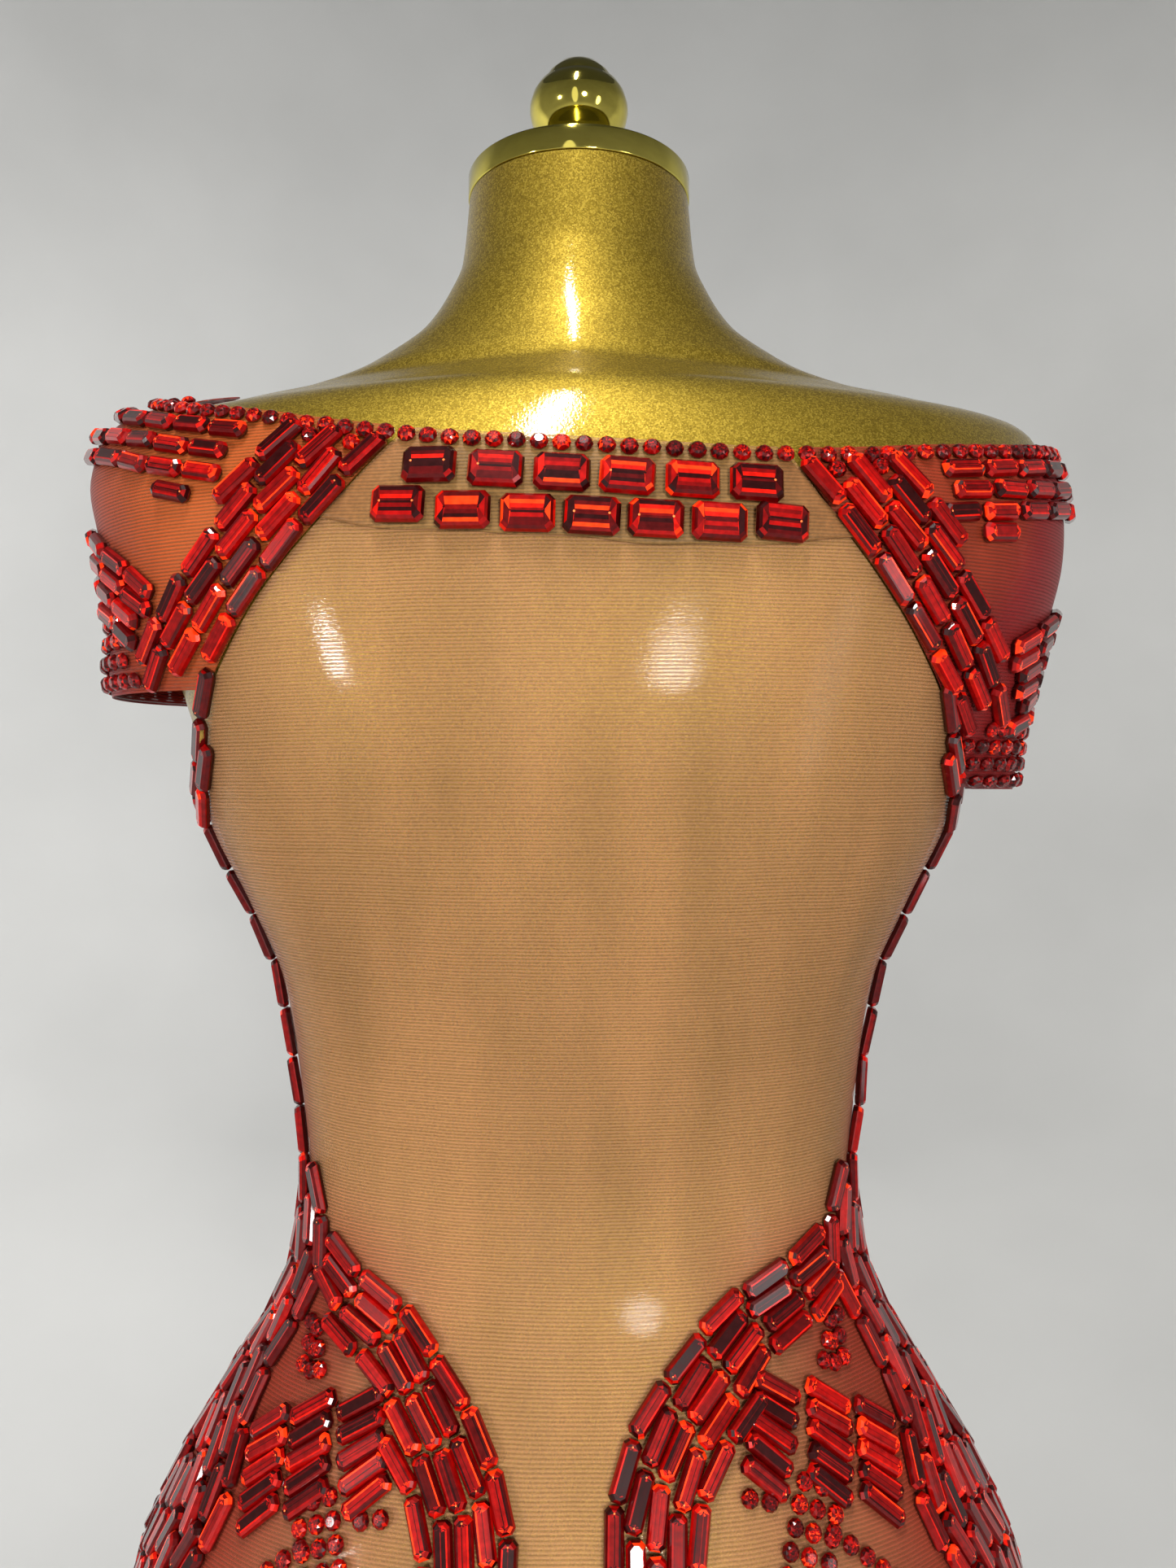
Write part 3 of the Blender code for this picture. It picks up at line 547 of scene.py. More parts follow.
creaseRows = (  # angle, top, foot, how high and how wide each soft fold of the back stands
    (-5.0, 0.236, 0.17, 0.0004, 1.3), (-9.5, 0.236, 0.15, -0.00036, 1.2),
    (-14.0, 0.236, 0.14, 0.00045, 1.6), (-19.0, 0.23, 0.155, -0.00034, 1.3),
    (12.0, 0.23, 0.185, 0.00026, 1.5), (24.0, 0.215, 0.165, 0.00026, 1.8),
)
wrinkleRows = (  # angle, rise, half length in degrees, how high and how tall
    (8.0, -0.046, 14.0, 0.00036, 0.0022), (2.0, -0.053, 10.0, -0.0003, 0.0018),
    (-12.0, -0.041, 9.0, 0.00016, 0.002), (20.0, -0.01, 12.0, 0.00012, 0.0025),
)


def backCrease(rise, angle):
    lift = 0.0
    for at, top, foot, high, wide in creaseRows:
        if foot - 0.03 < rise < top + 0.01:
            along = ease(foot - 0.02, foot + 0.02, rise) * ease(top + 0.006, top - 0.012, rise)
            drift = at + 9.0 * (0.2 - rise) * math.copysign(1, at)
            lift += high * along * bell(angle - drift, wide)
    for at, level, reach, high, tall in wrinkleRows:
        if abs(rise - level) < 4 * tall:
            bow = level + 0.0016 * math.sin(math.radians(9 * (angle - at)))
            lift += high * bell(rise - bow, tall) * bell(angle - at, reach * 0.5)
    return lift


def makePanel(name, node, facing, crease=None):
    edge = math.degrees(seamGap / halfWidth(0.0))
    angles = spaced(facing - 90.0 + edge, facing + 90.0 - edge, netSetup["columns"])
    mesh = netMesh(name, angles, lambda angle: hemRise, panelTop, netSetup["rows"], onBody,
                   backDye, crease)
    return newPiece(name, mesh, nudeNet, [node])


backPanel = makePanel("dress_back", "back", 0.0, backCrease)
frontPanel = makePanel("dress_front", "front", 180.0)

# the right sleeve takes extra red dye as painted shade, for the side that lies in shadow
sleeveSetup = {
    "column": 6.13, "reach": 11, "columns": 91, "rows": 36, "shadedSideDye": {"left": 0.0, "right": 0.7},
}


def makeSleeve(side):
    middle = sideSign[side] * 90.0
    reach = sleeveSetup["column"] * sleeveSetup["reach"]
    angles = spaced(middle - reach, middle + reach, sleeveSetup["columns"])

    def foot(angle):
        return sleeveFoot(angle, side)

    def dyeAt(rise, angle):
        # the last term is painted shade, added to the right sleeve only
        return clamp(ease(44, 2, fromSide(angle)) + 0.25 * ease(0.25, 0.17, rise)
                     + sleeveSetup["shadedSideDye"][side])

    name = f"dress_sleeve_{side}"
    mesh = netMesh(name, angles, foot, neckline, sleeveSetup["rows"], onSleeve, dyeAt)
    return newPiece(name, mesh, redNet, [f"sleeve_{side}"])


sleeves = {side: makeSleeve(side) for side in ("left", "right")}

neckSetup = {
    "depth": 0.0355, "margin": 0.002, "endMargin": 0.0012, "low": 0.0012, "high": 0.0017,
    "columns": 81, "rows": 22,
}


def makeNeckBand(name, node, facing):
    def place(depth, across):
        rise = neckline(facing) - depth
        seam = 90.0 - seamFromSide(min(rise + 0.003, seamRows[-1][1]))
        widest = halfWidth(rise) * math.sin(math.radians(seam)) - neckSetup["endMargin"]
        return facing + math.degrees(math.asin(across * widest / halfWidth(rise)))

    points, dyes = [], []
    for out in (neckSetup["high"], neckSetup["low"]):
        for depth in spaced(neckSetup["depth"], neckSetup["margin"], neckSetup["rows"]):
            for across in spaced(-1.0, 1.0, neckSetup["columns"]):
                angle = place(depth, across)
                low = 0.0008 * math.sin(5.1 * across) + 0.0005 * math.sin(13.0 * across + 1.0)
                share = (depth - neckSetup["margin"]) / (neckSetup["depth"] - neckSetup["margin"])
                rise = neckline(angle) - depth + low * share
                points.append(onBody(rise, angle, out))
                dyes.append(0.25 * ease(0.6, 1.0, abs(across)))
    mesh = sheetMesh(name, points, dyes, neckSetup["columns"])
    return newPiece(name, mesh, doubledNet, [node])


bandBack = makeNeckBand("dress_neck_band_back", "neck_band_back", 0.0)
bandFront = makeNeckBand("dress_neck_band_front", "neck_band_front", 180.0)
print("net made")

# ---- the stones
# reds from the darkest painted shade (night), through the stones' own reds (wine, blood, ruby,
# scarlet), up to painted glints (flame, spark)
stoneReds = {
    "night": (0.02, 0.0002, 0.0003), "wine": (0.075, 0.0003, 0.0005),
    "blood": (0.18, 0.0006, 0.0006), "ruby": (0.3, 0.0013, 0.0008),
    "scarlet": (0.58, 0.006, 0.0014), "flame": (1.0, 0.04, 0.004), "spark": (1.0, 0.2, 0.05),
}
facetMoods = {  # how often each part of a stone shows each red, from the darkest up: the stone's own red mixed with painted shade and painted glints
    "under": ("night", "night", "wine"),
    "rim": ("wine", "wine", "blood", "blood"),
    "crown": ("wine", "wine", "blood", "blood", "ruby"),
    "table": ("night", "wine", "blood", "blood", "blood", "ruby", "ruby", "ruby"),
    "shadow": ("night", "wine", "wine", "blood"),
    "streak": ("ruby", "scarlet", "scarlet", "flame", "flame"),
    "flare": ("wine", "blood", "ruby", "scarlet", "flame", "flame"),
    "tip": ("night", "wine", "blood", "ruby", "scarlet", "flame"),
    "hole": ("spark", "night", "wine"),
}
cutRows = {  # the table's bands from each long side to the middle line: streak and flare are painted highlights, shadow is painted shade
    "baguette": (("streak", "table", "table", "table"), ("shadow", "table", "table", "shadow")),
    "stacked": (("table", "flare", "streak", "shadow"), ("flare", "shadow", "table", "shadow")),
}


def octagon(a, b, clip, height):
    return [
        (a - clip, -b, height), (a, -b + clip, height), (a, b - clip, height),
        (a - clip, b, height), (-a + clip, b, height), (-a, b - clip, height),
        (-a, -b + clip, height), (-a + clip, -b, height),
    ]


def oblongStone(length, width, height, clip, bands="baguette"):
    # an emerald cut: clipped corners, two steps, and a banded table with splayed ends
    a, b = length / 2, width / 2
    inset = min(0.28 * b, 0.0011)
    ta, tb, tc = a - 1.35 * inset, b - 1.35 * inset, clip * 0.9  # the table and its corners
    rings = [
        octagon(a - 0.6 * inset, b - 0.6 * inset, clip, 0.0),
        octagon(a, b, clip, 0.34 * height),
        octagon(a, b, clip, 0.46 * height),
        octagon(a - 0.55 * inset, b - 0.55 * inset, clip, 0.78 * height),
        octagon(ta, tb, tc, height),
    ]
    points = [point for ring in rings for point in ring]
    faces = [(tuple(reversed(range(8))), "under")]
    for r, kind in enumerate(("under", "rim", "crown", "crown")):
        for i, face in enumerate(ringFaces(8, r * 8)):
            faces.append((face, "tip" if kind == "crown" and i not in (3, 7) else kind))
    keel = 0.68 * ta if bands == "stacked" else ta - tb
    top = len(points) - 8
    edge = {1: (top + 7, top + 0), -1: (top + 4, top + 3)}  # long sides at -b and at +b

    def at(u, v, lift=0.0):
        points.append((u, v, height + lift))
        return len(points) - 1

    lines = {}
    for side in (1, -1):
        lines[side] = [edge[side]]
        for share in (0.72, 0.45, 0.16):
            u = keel + share * (ta - tc - keel)
            lines[side].append((at(-u, -side * share * tb), at(u, -side * share * tb)))
    keelLine = (at(-keel, 0.0), at(keel, 0.0))
    for side, kinds in zip((1, -1), cutRows[bands]):
        below, above = lines[side], lines[side][1:] + [keelLine]
        for (l0, r0), (l1, r1), kind in zip(below, above, kinds):
            faces.append(((l0, r0, r1, l1) if side == 1 else (r0, l0, l1, r1), kind))
    for end in (1, -1):
        pick = 1 if end == 1 else 0
        middle = end * (ta - 0.42 * tb)
        hub = at(middle, 0.0)
        low = [line[pick] for line in lines[1]]
        high = [line[pick] for line in lines[-1]]
        corners = [top + 1, top + 2] if end == 1 else [top + 6, top + 5]
        loop = [keelLine[pick], *reversed(low), *corners, *high, keelLine[pick]]
        for p, q in zip(loop, loop[1:]):
            faces.append(((p, q, hub) if end == 1 else (q, p, hub), "tip"))
        hole = circle(min(0.16 * tb, 0.00042), 0.0, 6, 0.0, (middle, 0.0))
        faces.append((tuple(at(u, v, 0.00003) for u, v, level in hole), "hole"))
    return points, faces


def roundStone(radius, height, n=10):
    rings = [
        circle(0.72 * radius, 0.0, n), circle(radius, 0.32 * height, n),
        circle(radius, 0.44 * height, n), circle(0.76 * radius, 0.82 * height, n, 0.5),
        circle(0.5 * radius, height, n), circle(0.22 * radius, height, n, 0.5),
    ]
    points = [point for ring in rings for point in ring] + [(0.0, 0.0, height)]
    faces = [(tuple(reversed(range(n))), "under")]
    for r, kind in enumerate(("under", "rim")):
        faces += [(face, kind) for face in ringFaces(n, r * n)]
    for r, shifted in ((2, True), (3, False), (4, True)):
        low, high = r * n, r * n + n
        for i in range(n):
            j = (i + 1) % n
            if shifted:
                faces.append(((low + i, low + j, high + i), "crown"))
                faces.append(((low + j, high + j, high + i), "tip"))
            else:
                faces.append(((low + i, low + j, high + j), "tip"))
                faces.append(((low + i, high + j, high + i), "crown"))
    faces += [((5 * n + i, 5 * n + (i + 1) % n, 6 * n), "tip") for i in range(n)]
    return points, faces


stoneCuts = {
    "slim": oblongStone(0.0198, 0.0068, 0.004, 0.0015),
    "short": oblongStone(0.0165, 0.0068, 0.004, 0.0015),
    "broad": oblongStone(0.0184, 0.013, 0.0046, 0.002, "stacked"),
    "round": roundStone(0.0032, 0.0032),
}
seatHeight = 0.0011  # the stones' undersides, over the net's inner face
netFace = 0.001  # just over the net's outer face


def stoneSeat(surface, rise, angle, out=seatHeight):
    # the level, upward and outward directions of the cloth at a place
    level = surface(rise, angle + 0.5, out) - surface(rise, angle - 0.5, out)
    up = surface(rise + 0.001, angle, out) - surface(rise - 0.001, angle, out)
    outward = up.cross(level).normalized()
    level.normalize()
    return level, outward.cross(level), outward


def headingOf(way, level, over):  # degrees from level, towards greater angle, up to the way
    return math.degrees(math.atan2(way.dot(over), way.dot(level)))


class stoneTray:  # gathers placed stones, then makes one mesh of them
    count = 0

    def __init__(self, name, seed):
        self.name = name
        self.points, self.faces, self.colors = [], [], []
        self.random = random.Random(seed)

    def put(self, cut, surface, rise, angle, heading, glintLevel, lift=0.0):
        seat = surface(rise, angle, seatHeight + lift)
        self.set(cut, seat, *stoneSeat(surface, rise, angle), heading, glintLevel)

    def set(self, cut, seat, level, over, out, heading, glintLevel):
        stoneTray.count += 1
        r = self.random
        turn = math.radians(heading + r.gauss(0, 1.6))
        along = level * math.cos(turn) + over * math.sin(turn)
        out = (out + level * r.gauss(0, 0.035) + over * r.gauss(0, 0.035)).normalized()
        across = out.cross(along).normalized()
        along = across.cross(out)
        size = 1.0 + r.gauss(0, 0.012)
        flip = -1.0 if r.random() < 0.5 and cut != "broad" else 1.0
        across, along = across * flip, along * flip
        points, faces = stoneCuts[cut]
        start = len(self.points)
        for u, v, w in points:
            self.points.append(seat + along * (u * size) + across * (v * size) + out * w)
        # each stone's share of painted glints and painted shade, spread around the given level
        lift = r.gauss(glintLevel, 0.2)
        tableMood = r.random()
        for face, kind in faces:
            moods = facetMoods[kind]
            mood = tableMood + r.gauss(0, 0.05) if kind == "table" else r.random()
            pick = clamp((mood + lift - 0.5), 0.0, 0.999)
            base = stoneReds[moods[int(pick * len(moods))]]
            shade = r.uniform(0.85, 1.15)
            color = (min(base[0] * shade, 1.0), base[1] * shade, base[2] * shade, 1.0)
            self.faces.append(tuple(start + i for i in face))
            self.colors.extend(color * len(face))

    def finish(self, nodes):
        mesh = bpy.data.meshes.new(self.name)
        mesh.from_pydata(self.points, [], self.faces)
        paint = mesh.color_attributes.new(name="facetRedAndGlint", type="FLOAT_COLOR", domain="CORNER")
        paint.data.foreach_set("color", self.colors)
        print(self.name, len(self.faces), "facets")
        newPiece(self.name, mesh, stoneRed, nodes)


def smoothPath(rows, samples=60):  # a rounded path through (angle, rise) points
    path = []
    pts = [rows[0], *rows, rows[-1]]
    per = max(2, samples // (len(rows) - 1))
    for i in range(1, len(pts) - 2):
        p0, p1, p2, p3 = pts[i - 1], pts[i], pts[i + 1], pts[i + 2]
        for k in range(per):
            t = k / per
            path.append(tuple(
                0.5 * (2 * b + (c - a) * t + (2 * a - 5 * b + 4 * c - d) * t * t
                       + (3 * b - a - 3 * c + d) * t**3)
                for a, b, c, d in zip(p0, p1, p2, p3)
            ))
    path.append(tuple(rows[-1]))
    return path


def followPath(tray, cut, surface, mapped, path, pitch, start, bright, end=None):
    # sets stones along a path of (angle, rise), each turned to the path's own direction
    places = [mapped(angle, rise) for angle, rise in path]
    spots = [surface(rise, angle, seatHeight) for angle, rise in places]
    walked = [0.0]
    for a, b in zip(spots, spots[1:]):
        walked.append(walked[-1] + (b - a).length)
    stop = walked[-1] if end is None else end
    reach = start
    i = 0
    while reach <= stop + 1e-6:
        while i < len(walked) - 2 and walked[i + 1] < reach:
            i += 1
        share = (reach - walked[i]) / max(walked[i + 1] - walked[i], 1e-9)
        angle, rise = mixPair(places[i], places[i + 1], share)
        way = spots[min(i + 2, len(spots) - 1)] - spots[max(i - 1, 0)]
        level, over, out = stoneSeat(surface, rise, angle)
        seat = surface(rise, angle, seatHeight)
        tray.set(cut, seat, level, over, out, headingOf(way, level, over), bright)
        reach += pitch


courseSetup = {
    "plainRoom": 0.3, "edgeRoom": 0.12, "first": 0.5,  # in pitches, from a band's edges
    "fewest": 4, "lap": 0.98, "plugStart": 0.0052, "plugEnd": 0.006,
}


def bandCourses(tray, surface, mapped, inner, outer, pitch, length, bright, most,
                floor=-1.0, brick=0.5, plug=False, edge=0):
    # fills the band between two edges with brick-wise courses that start at the inner edge
    near, far = smoothPath(inner), smoothPath(outer)
    count = min(len(near), len(far))
    near, far = [
        [line[round(i * (len(line) - 1) / (count - 1))] for i in range(count)]
        for line in (near, far)
    ]
    widths = []
    for n, f in zip(near, far):
        (a0, r0), (a1, r1) = mapped(*n), mapped(*f)
        widths.append((surface(r0, a0, netFace) - surface(r1, a1, netFace)).length)
    kept = courseSetup["edgeRoom" if edge else "plainRoom"]
    for k in range(-edge, most):  # the first few courses are laid along the outer edge
        run = []
        for n, f, wide in zip(near, far, widths):
            offset = (k + courseSetup["first"]) * pitch + (0.0 if k >= 0 else wide)
            room = wide - (edge + kept) * pitch if k >= 0 else wide
            share = offset / max(wide, 1e-6)
            spot = mixPair(n, f, share)
            if 0.0 < offset <= room and spot[1] > floor:
                run.append(spot)
            elif run:
                break
        if len(run) > courseSetup["fewest"]:
            start = length * (0.5 + brick * (k % 2)) * courseSetup["lap"]
            followPath(tray, "slim", surface, mapped, run, length, start, bright)
            if plug and k % 2:  # a round fills the half stone's room at the top
                followPath(tray, "round", surface, mapped, run, length,
                           courseSetup["plugStart"], bright, courseSetup["plugEnd"])


def ladder(tray, surface, mapped, corners, count, bright, lean):
    # stacked stones that each reach from one long edge of a four-cornered patch to the other
    (topOut, topIn, footIn, footOut) = corners
    for k in range(count):
        share = (k + 0.5) / count
        a, b = mixPair(topOut, footOut, share), mixPair(topIn, footIn, share)
        (a0, r0), (a1, r1) = mapped(*a), mapped(*b)
        angle, rise = mapped((a[0] + b[0]) / 2, (a[1] + b[1]) / 2)
        way = surface(r1, a1, netFace) - surface(r0, a0, netFace)
        level, over, out = stoneSeat(surface, rise, angle, netFace)
        heading = headingOf(way, level, over) - math.copysign(lean, way.dot(level))
        tray.put("slim", surface, rise, angle, heading, bright)


def hipPlace(face, sign):  # from the half pattern's (angle, rise) to the dress's own
    def mapped(angle, rise):
        fade = clamp(1.0 - angle / 86.0)
        level = rise - hipSkew * sign * fade * ease(0.02, -0.01, rise)
        if face == "back":
            return sign * angle + hipTurn * fade, level
        return 180.0 - sign * angle - hipTurn * fade, level
    return mapped


def sidePlace(face, sign):
    def mapped(angle, rise):
        return (sign * angle, rise) if face == "back" else (180.0 - sign * angle, rise)
    return mapped


def asGiven(angle, rise):
    return angle, rise


hipSetup = {
    "length": 0.0206, "floor": -0.387, "sideEdge": 89.0, "lean": 13.0,
    "arc": {"pitch": 0.0072, "bright": 0.43, "most": 5, "brick": 0.12},
    "sweep": {"pitch": 0.0069, "bright": 0.3, "most": 12, "edge": 2},
    "bright": 0.35, "lowBright": 0.45, "lowTall": 0.032, "lowCount": 4,
    "roundRun": {"pitch": 0.0072, "start": 0.002, "bright": 0.38},
    "arcInner": ((57, -0.0145), (42.7, -0.0262), (30.3, -0.0364), (20, -0.0527), (12, -0.0693),
                 (7.8, -0.0843), (5.6, -0.1009), (5.5, -0.125), (5.5, -0.2), (5.4, -0.3),
                 (5.6, -0.396)),
    "arcOuter": ((64, -0.04), (50, -0.051), (38.5, -0.063), (30, -0.0765), (25.4, -0.088),
                 (22, -0.1), (21.4, -0.112), (21.2, -0.135), (21, -0.2), (21, -0.3),
                 (22.5, -0.396)),
    "sweepInner": ((66, 0.006), (60, -0.012), (57.5, -0.026), (58.5, -0.04), (61.5, -0.054),
                    (62.5, -0.07), (60.5, -0.083), (58.5, -0.09), (53.5, -0.112), (56.5, -0.135),
                    (60, -0.17), (61, -0.2), (60, -0.25), (62, -0.3), (60, -0.396)),
    "ladders": (  # top outer, top inner, foot inner, foot outer, how many
        ((40.4, -0.0665), (32.9, -0.0625), (25.0, -0.09), (31.4, -0.099), 5),
        ((50.2, -0.0725), (42.6, -0.067), (34.6, -0.095), (42.1, -0.104), 5),
        ((59.2, -0.0815), (51.4, -0.0755), (42.6, -0.1035), (49.6, -0.1135), 5),
    ),
    "lowLadders": (  # outer angle, inner angle, top
        (30.5, 22.3, -0.205), (39.5, 31.3, -0.207), (48.5, 40.3, -0.21), (58.0, 49.4, -0.213),
        (31.0, 22.6, -0.31), (40.8, 32.0, -0.312), (50.4, 41.6, -0.315), (60.0, 51.4, -0.318),
    ),
    "rounds": (  # runs of round stones, as paths of (angle, rise)
        ((57.5, -0.048), (55.0, -0.057), (53.0, -0.069)),
        ((54.5, -0.049), (52.0, -0.058), (50.0, -0.067)),
        ((52.0, -0.055), (49.3, -0.0605), (47.0, -0.065)),
        ((38.5, -0.095), (34.5, -0.106), (31.0, -0.12), (30.0, -0.14), (33.0, -0.17),
         (30.0, -0.2)),
        ((35.8, -0.0925), (32.0, -0.104), (28.3, -0.119), (27.2, -0.14), (30.2, -0.17),
         (27.2, -0.2)),
        ((41.2, -0.0975), (37.2, -0.108), (33.8, -0.122), (32.8, -0.141), (35.8, -0.171),
         (32.8, -0.201)),
        ((29.6, -0.0985), (26.0, -0.0965), (23.6, -0.0955)),
        ((36.5, -0.108), (41.0, -0.117), (46.5, -0.129), (52.0, -0.137), (57.0, -0.14)),
        ((34.0, -0.16), (40.0, -0.164), (47.0, -0.172), (54.0, -0.176)),
        ((31.0, -0.144), (27.5, -0.142), (24.0, -0.142)),
        ((32.0, -0.242), (36.0, -0.26), (34.0, -0.285), (31.0, -0.306)),
        ((35.0, -0.242), (39.0, -0.26), (37.0, -0.285), (34.0, -0.306)),
        ((39.0, -0.262), (45.0, -0.27), (51.0, -0.272), (57.0, -0.268)),
        ((33.0, -0.276), (29.0, -0.274), (25.0, -0.274)),
        ((34.0, -0.348), (38.0, -0.365), (36.0, -0.388)),
        ((37.0, -0.348), (41.0, -0.365), (39.0, -0.388)),
        ((41.0, -0.366), (47.0, -0.372), (54.0, -0.374)),
    ),
}


def makeHip(face, side, seed):
    mapped = hipPlace(face, sideSign[side])
    tray = stoneTray(f"stones_hip_{face}_{side}", seed)
    limits = {"length": hipSetup["length"], "floor": hipSetup["floor"]}
    sweepOuter = [(hipSetup["sideEdge"], rise) for angle, rise in hipSetup["sweepInner"]]
    bandCourses(tray, onBody, mapped, hipSetup["arcInner"], hipSetup["arcOuter"],
                **limits, **hipSetup["arc"])
    bandCourses(tray, onBody, mapped, hipSetup["sweepInner"], sweepOuter,
                **limits, **hipSetup["sweep"])
    for *corners, count in hipSetup["ladders"]:
        ladder(tray, onBody, mapped, corners, count, hipSetup["bright"], hipSetup["lean"])
    for outer, inner, top in hipSetup["lowLadders"]:
        foot = top - hipSetup["lowTall"]
        corners = ((outer, top), (inner, top), (inner, foot), (outer, foot))
        ladder(tray, onBody, mapped, corners, hipSetup["lowCount"], hipSetup["lowBright"], 0.0)
    for path in hipSetup["rounds"]:
        followPath(tray, "round", onBody, mapped, smoothPath(path), **hipSetup["roundRun"])
    tray.finish([f"hip_stones_{face}_{side}"])


sideSetup = {
    "path": ((84.5, 0.134), (84.5, 0.1), (84.0, 0.06), (84.0, 0.03), (84.0, 0.004)),
    "run": {"pitch": 0.02, "start": 0.006, "bright": 0.4},
}


def makeSide(face, side, seed):
    tray = stoneTray(f"stones_side_{face}_{side}", seed)
    followPath(tray, "slim", onBody, sidePlace(face, sideSign[side]),
               smoothPath(sideSetup["path"]), **sideSetup["run"])
    tray.finish([f"side_stones_{face}_{side}"])


raglanSetup = {
    "pitch": 0.0081, "length": 0.0204, "bright": 0.42, "most": 5,
    "inner": ((21.2, 0.263), (23.0, 0.26), (29.2, 0.2425), (35.4, 0.2275), (41.8, 0.2135),
              (50.4, 0.196), (58.0, 0.1828), (64.0, 0.1725)),
    "outer": ((35.5, 0.272), (37.0, 0.266), (42.0, 0.252), (47.0, 0.2385), (53.0, 0.224),
              (60.0, 0.209), (66.0, 0.196), (71.0, 0.185)),
    "stop": {"left": 0.188, "right": 0.156},
    "runs": (  # two rows on the back under the seam: where each starts, then its (angle, rise)
        (0.004, ((57.0, 0.186), (61.0, 0.176), (66.0, 0.1655), (72.0, 0.156), (78.0, 0.148),
                 (84.0, 0.142))),
        (0.01, ((62.5, 0.1655), (66.0, 0.157), (70.5, 0.148), (74.5, 0.1415),
                 (79.0, 0.136))),
    ),
    "runBright": 0.32,
}


def makeRaglan(face, side, seed):
    tray = stoneTray(f"stones_raglan_{face}_{side}", seed)
    mapped = sidePlace(face, sideSign[side])
    length = raglanSetup["length"]
    bandCourses(tray, onSleeve, mapped, raglanSetup["inner"], raglanSetup["outer"],
                raglanSetup["pitch"], length, raglanSetup["bright"], raglanSetup["most"],
                floor=raglanSetup["stop"][side], plug=True)
    for start, rows in raglanSetup["runs"]:
        followPath(tray, "slim", onBody, mapped, smoothPath(rows), length, start,
                   raglanSetup["runBright"])
    tray.finish([f"raglan_stones_{face}_{side}"])


shoulderSetup = {  # each row's depth, reach and the degrees kept clear at its middle
    "rows": ((0.011, 52.5, 0), (0.0192, 50, 0), (0.0274, 47, 12), (0.0356, 44, 36)),
    "run": {"pitch": 0.0178, "start": 0.0085, "bright": 0.42},
}


def makeShoulder(side, seed):
    tray = stoneTray(f"stones_shoulder_{side}", seed)
    for depth, reach, clear in shoulderSetup["rows"]:
        for way in (-1, 1):
            angles = [sideSign[side] * (90.0 + way * span) for span in spaced(clear, reach, 20)]
            path = [(angle, neckline(angle) - depth) for angle in angles]
            followPath(tray, "short", onSleeve, asGiven, path, **shoulderSetup["run"])
    tray.finish([f"shoulder_stones_{side}"])


cuffSetup = {
    "courses": {"left": 4, "right": 6}, "drop": 0.006, "step": 0.0084, "bow": 0.04,
    "reach": 38.0, "start": 0.006, "shift": 0.003, "run": {"pitch": 0.0172, "bright": 0.34},
    "rounds": 4, "roundRise": 0.0045, "roundStep": 0.0068, "roundReach": 23,
    "roundStart": 0.002, "roundShift": 0.0037, "roundRun": {"pitch": 0.0074, "bright": 0.3},
}
bandEdge = smoothCurve([(rise, angle) for angle, rise in reversed(raglanSetup["outer"])])


def makeCuff(side, seed):
    tray = stoneTray(f"stones_cuff_{side}", seed)
    sign, foot, reach = sideSign[side], cuffRise[side], cuffSetup["reach"]
    for j in range(cuffSetup["courses"][side]):
        for way in (-1, 1):
            path = []
            for span in spaced(1.5, reach, 60):
                bow = cuffSetup["bow"] * (1 - (span / reach) ** 2)
                rise = foot - cuffSetup["drop"] + cuffSetup["step"] * j + bow
                if 90.0 - span > bandEdge(rise) + 1.0:
                    path.append((sign * (90.0 + way * span), rise))
            path.reverse()
            start = cuffSetup["start"] + cuffSetup["shift"] * (j % 2)
            followPath(tray, "short", onSleeve, asGiven, path, start=start, **cuffSetup["run"])
    for j in range(cuffSetup["rounds"]):
        rise = foot + cuffSetup["roundRise"] + cuffSetup["roundStep"] * j
        spans = spaced(-cuffSetup["roundReach"], cuffSetup["roundReach"], 30)
        path = [(sign * (90.0 + span), rise) for span in spans]
        start = cuffSetup["roundStart"] + cuffSetup["roundShift"] * (j % 2)
        followPath(tray, "round", onSleeve, asGiven, path, start=start,
                   **cuffSetup["roundRun"])
    tray.finish([f"cuff_stones_{side}"])


necklineSetup = {"depth": 0.0042, "pitch": 0.00755, "bright": 0.42, "bodyLift": 0.0007}


def makeNeckRounds(seed):
    # one line of round stones under the neckline, all the way round
    def surface(rise, angle, out):
        if fromSide(angle) < 60:
            return onSleeve(rise, angle, out)
        return onBody(rise, angle, out + necklineSetup["bodyLift"])

    tray = stoneTray("stones_neckline", seed)
    path = [(-180.0 + k, neckline(-180.0 + k) - necklineSetup["depth"]) for k in range(361)]
    followPath(tray, "round", surface, asGiven, path, necklineSetup["pitch"], 0.0,
               necklineSetup["bright"])
    tray.finish([])


neckStoneSetup = {  # each row's place, count and depth
    "rows": (("upper", 6, 0.015), ("lower", 7, 0.0288)),
    "pitch": 0.0222, "bright": 0.36, "lift": 0.001,
}


def makeNeckStones(place, count, depth, seed):
    tray = stoneTray(f"stones_neck_{place}", seed)
    for k in range(count):
        x = (k - (count - 1) / 2) * neckStoneSetup["pitch"]
        angle = math.degrees(math.asin(x / halfWidth(neckline(0.0))))
        tray.put("broad", onBody, neckline(angle) - depth, angle, 0.0,
                 neckStoneSetup["bright"], neckStoneSetup["lift"])
    tray.finish([f"neck_stones_{place}"])


seed = 11
for side in ("left", "right"):
    for face in ("back", "front"):
        makeHip(face, side, seed)
        makeSide(face, side, seed + 1)
        makeRaglan(face, side, seed + 2)
        seed += 3
    makeShoulder(side, seed)
    makeCuff(side, seed + 1)
    seed += 2
makeNeckRounds(seed)
for place, count, depth in neckStoneSetup["rows"]:
    seed += 1
    makeNeckStones(place, count, depth, seed)
print("stones set:", stoneTray.count)

# ---- studio
studioSetup = {"radius": 3.6, "cove": 2.4, "height": 5.5, "drop": 0.0005, "steps": 96}


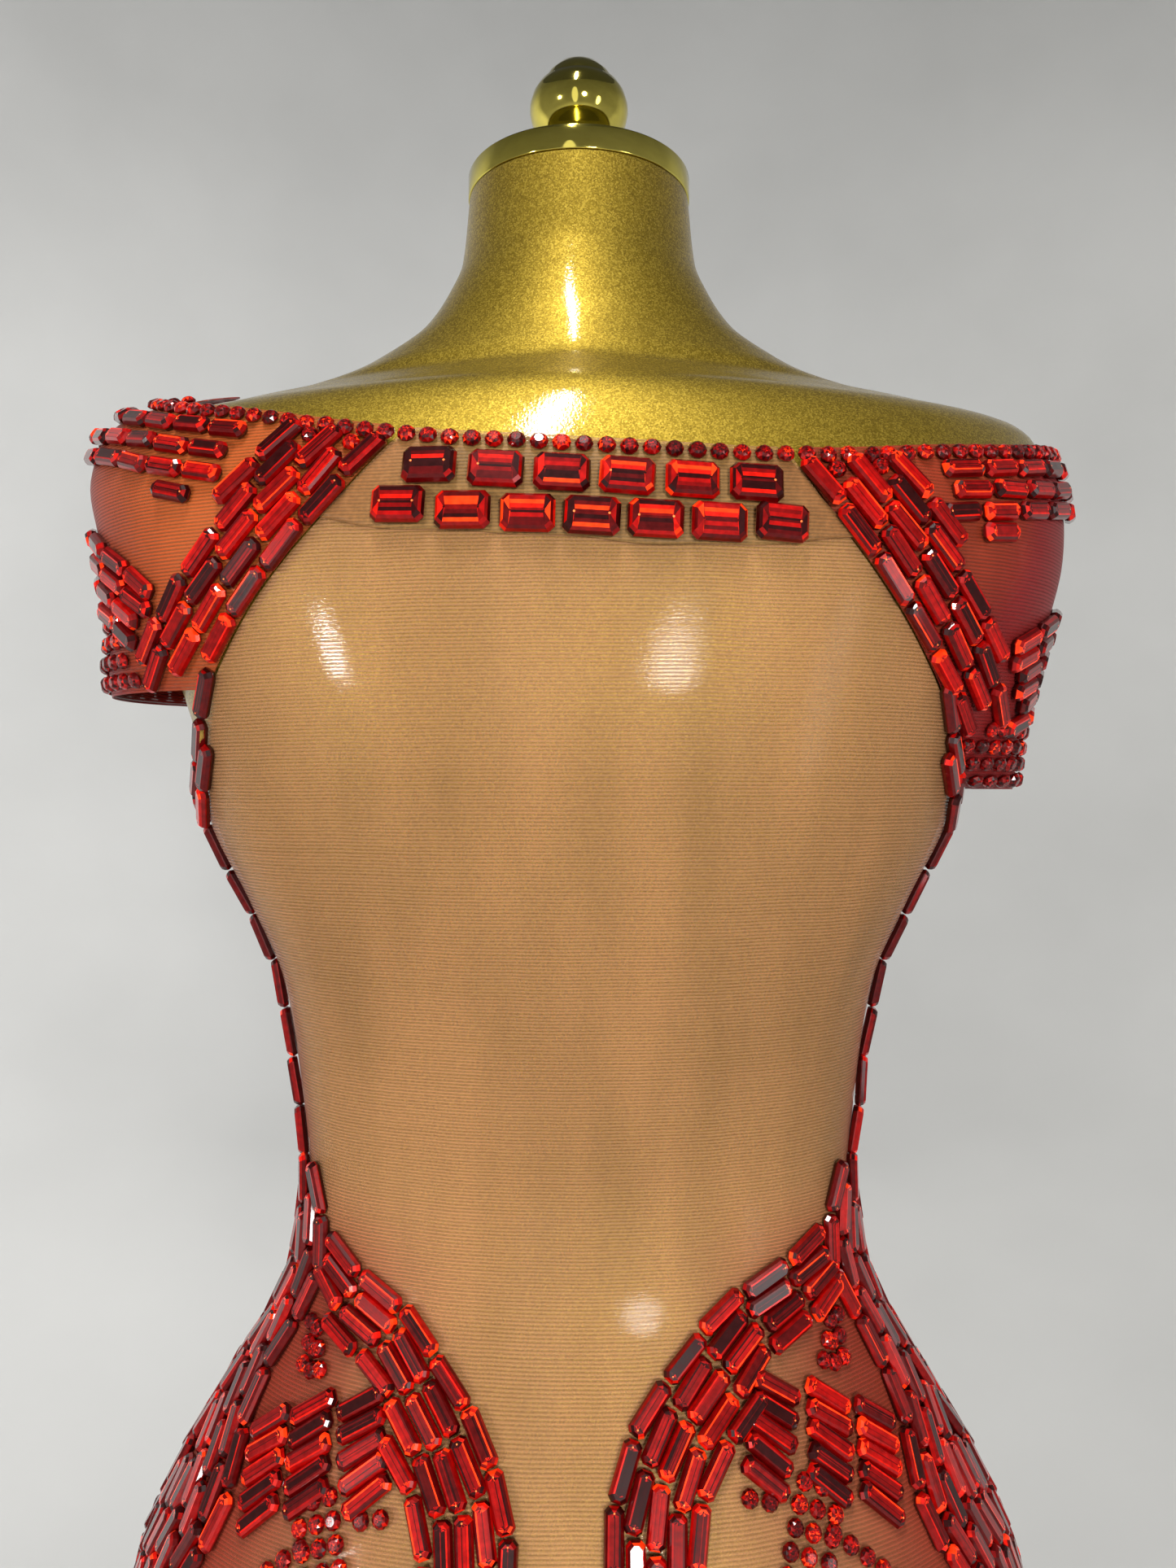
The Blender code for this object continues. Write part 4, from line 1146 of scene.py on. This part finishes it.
def makeStudio():
    made, nodes, shader = newMaterial("pale studio paper")
    mottle = addNoise(nodes, addNode(nodes, "TexCoord", "Object"), 1.4, 3.0)
    tones = addTones(nodes, mottle, ((0.3, (0.56, 0.56, 0.55)), (0.7, (0.62, 0.62, 0.61))))
    setValues(shader, {"Base Color": tones, "Roughness": 0.85})
    radius, cove, steps = studioSetup["radius"], studioSetup["cove"], studioSetup["steps"]
    profile = [(0.001, 0.0), (radius - cove, 0.0)]
    for k in range(1, 13):
        t = math.radians(90 * k / 12)
        profile.append((radius - cove * (1 - math.sin(t)), cove * (1 - math.cos(t))))
    profile.append((radius, studioSetup["height"]))
    points = [point for wide, height in profile
              for point in circle(wide, height - studioSetup["drop"], steps)]
    faces = [face for r in range(len(profile) - 1) for face in ringFaces(steps, r * steps)]
    obj = bpy.data.objects.new("studio", newMesh("studio", points, faces))
    obj.data.materials.append(made)
    scene.collection.objects.link(obj)


makeStudio()


def addLight(name, place, target, size, power, color):
    data = bpy.data.lights.new(name, "AREA")
    data.shape = "ELLIPSE"
    data.size, data.size_y = size
    data.energy = power
    data.color = color
    lamp = bpy.data.objects.new(name, data)
    lamp.location = place
    lamp.rotation_euler = (Vector(target) - Vector(place)).to_track_quat("-Z", "Y").to_euler()
    scene.collection.objects.link(lamp)


lightRows = (  # name, place, aimed at, size, watts, colour
    ("ceiling", (0.12, 0.85, 3.0), (0.0, 0.0, 1.3), (0.14, 0.9), 29.0, (1.0, 0.98, 0.95)),
    ("lamp_right", (-0.47, 2.05, 1.27), (0.0, 0.0, 1.2), (0.3, 0.46), 27.0, (1.0, 0.99, 0.97)),
    ("lamp_left", (1.45, 1.54, 1.18), (0.0, 0.0, 1.2), (0.18, 0.27), 19.0, (1.0, 0.99, 0.97)),
    ("lamp_far_right", (-1.51, 1.44, 0.9), (0.0, 0.0, 1.2), (0.36, 1.0), 5.0, (1.0, 1.0, 1.0)),
    ("soft_box", (0.3, 2.03, 1.15), (0.0, 0.0, 1.15), (0.5, 1.9), 3.0, (1.0, 0.99, 0.97)),
    ("front", (0.0, -2.3, 1.05), (0.0, 0.0, 1.1), (0.5, 1.2), 8.0, (1.0, 0.99, 0.97)),
    ("wall_left", (2.0, -0.3, 1.9), (2.0, -3.6, 1.7), (0.6, 2.6), 53.0, (1.0, 1.0, 1.0)),
    ("wall_right", (-2.0, -0.3, 1.9), (-2.0, -3.6, 1.7), (0.6, 2.6), 17.0, (1.0, 1.0, 0.98)),
)
for row in lightRows:
    addLight(*row)

world = bpy.data.worlds.new("studio air")
world.use_nodes = True
setValues(world.node_tree.nodes["Background"], {"Color": (0.8, 0.83, 0.86, 1.0), "Strength": 0.09})
scene.world = world
print("studio lit")
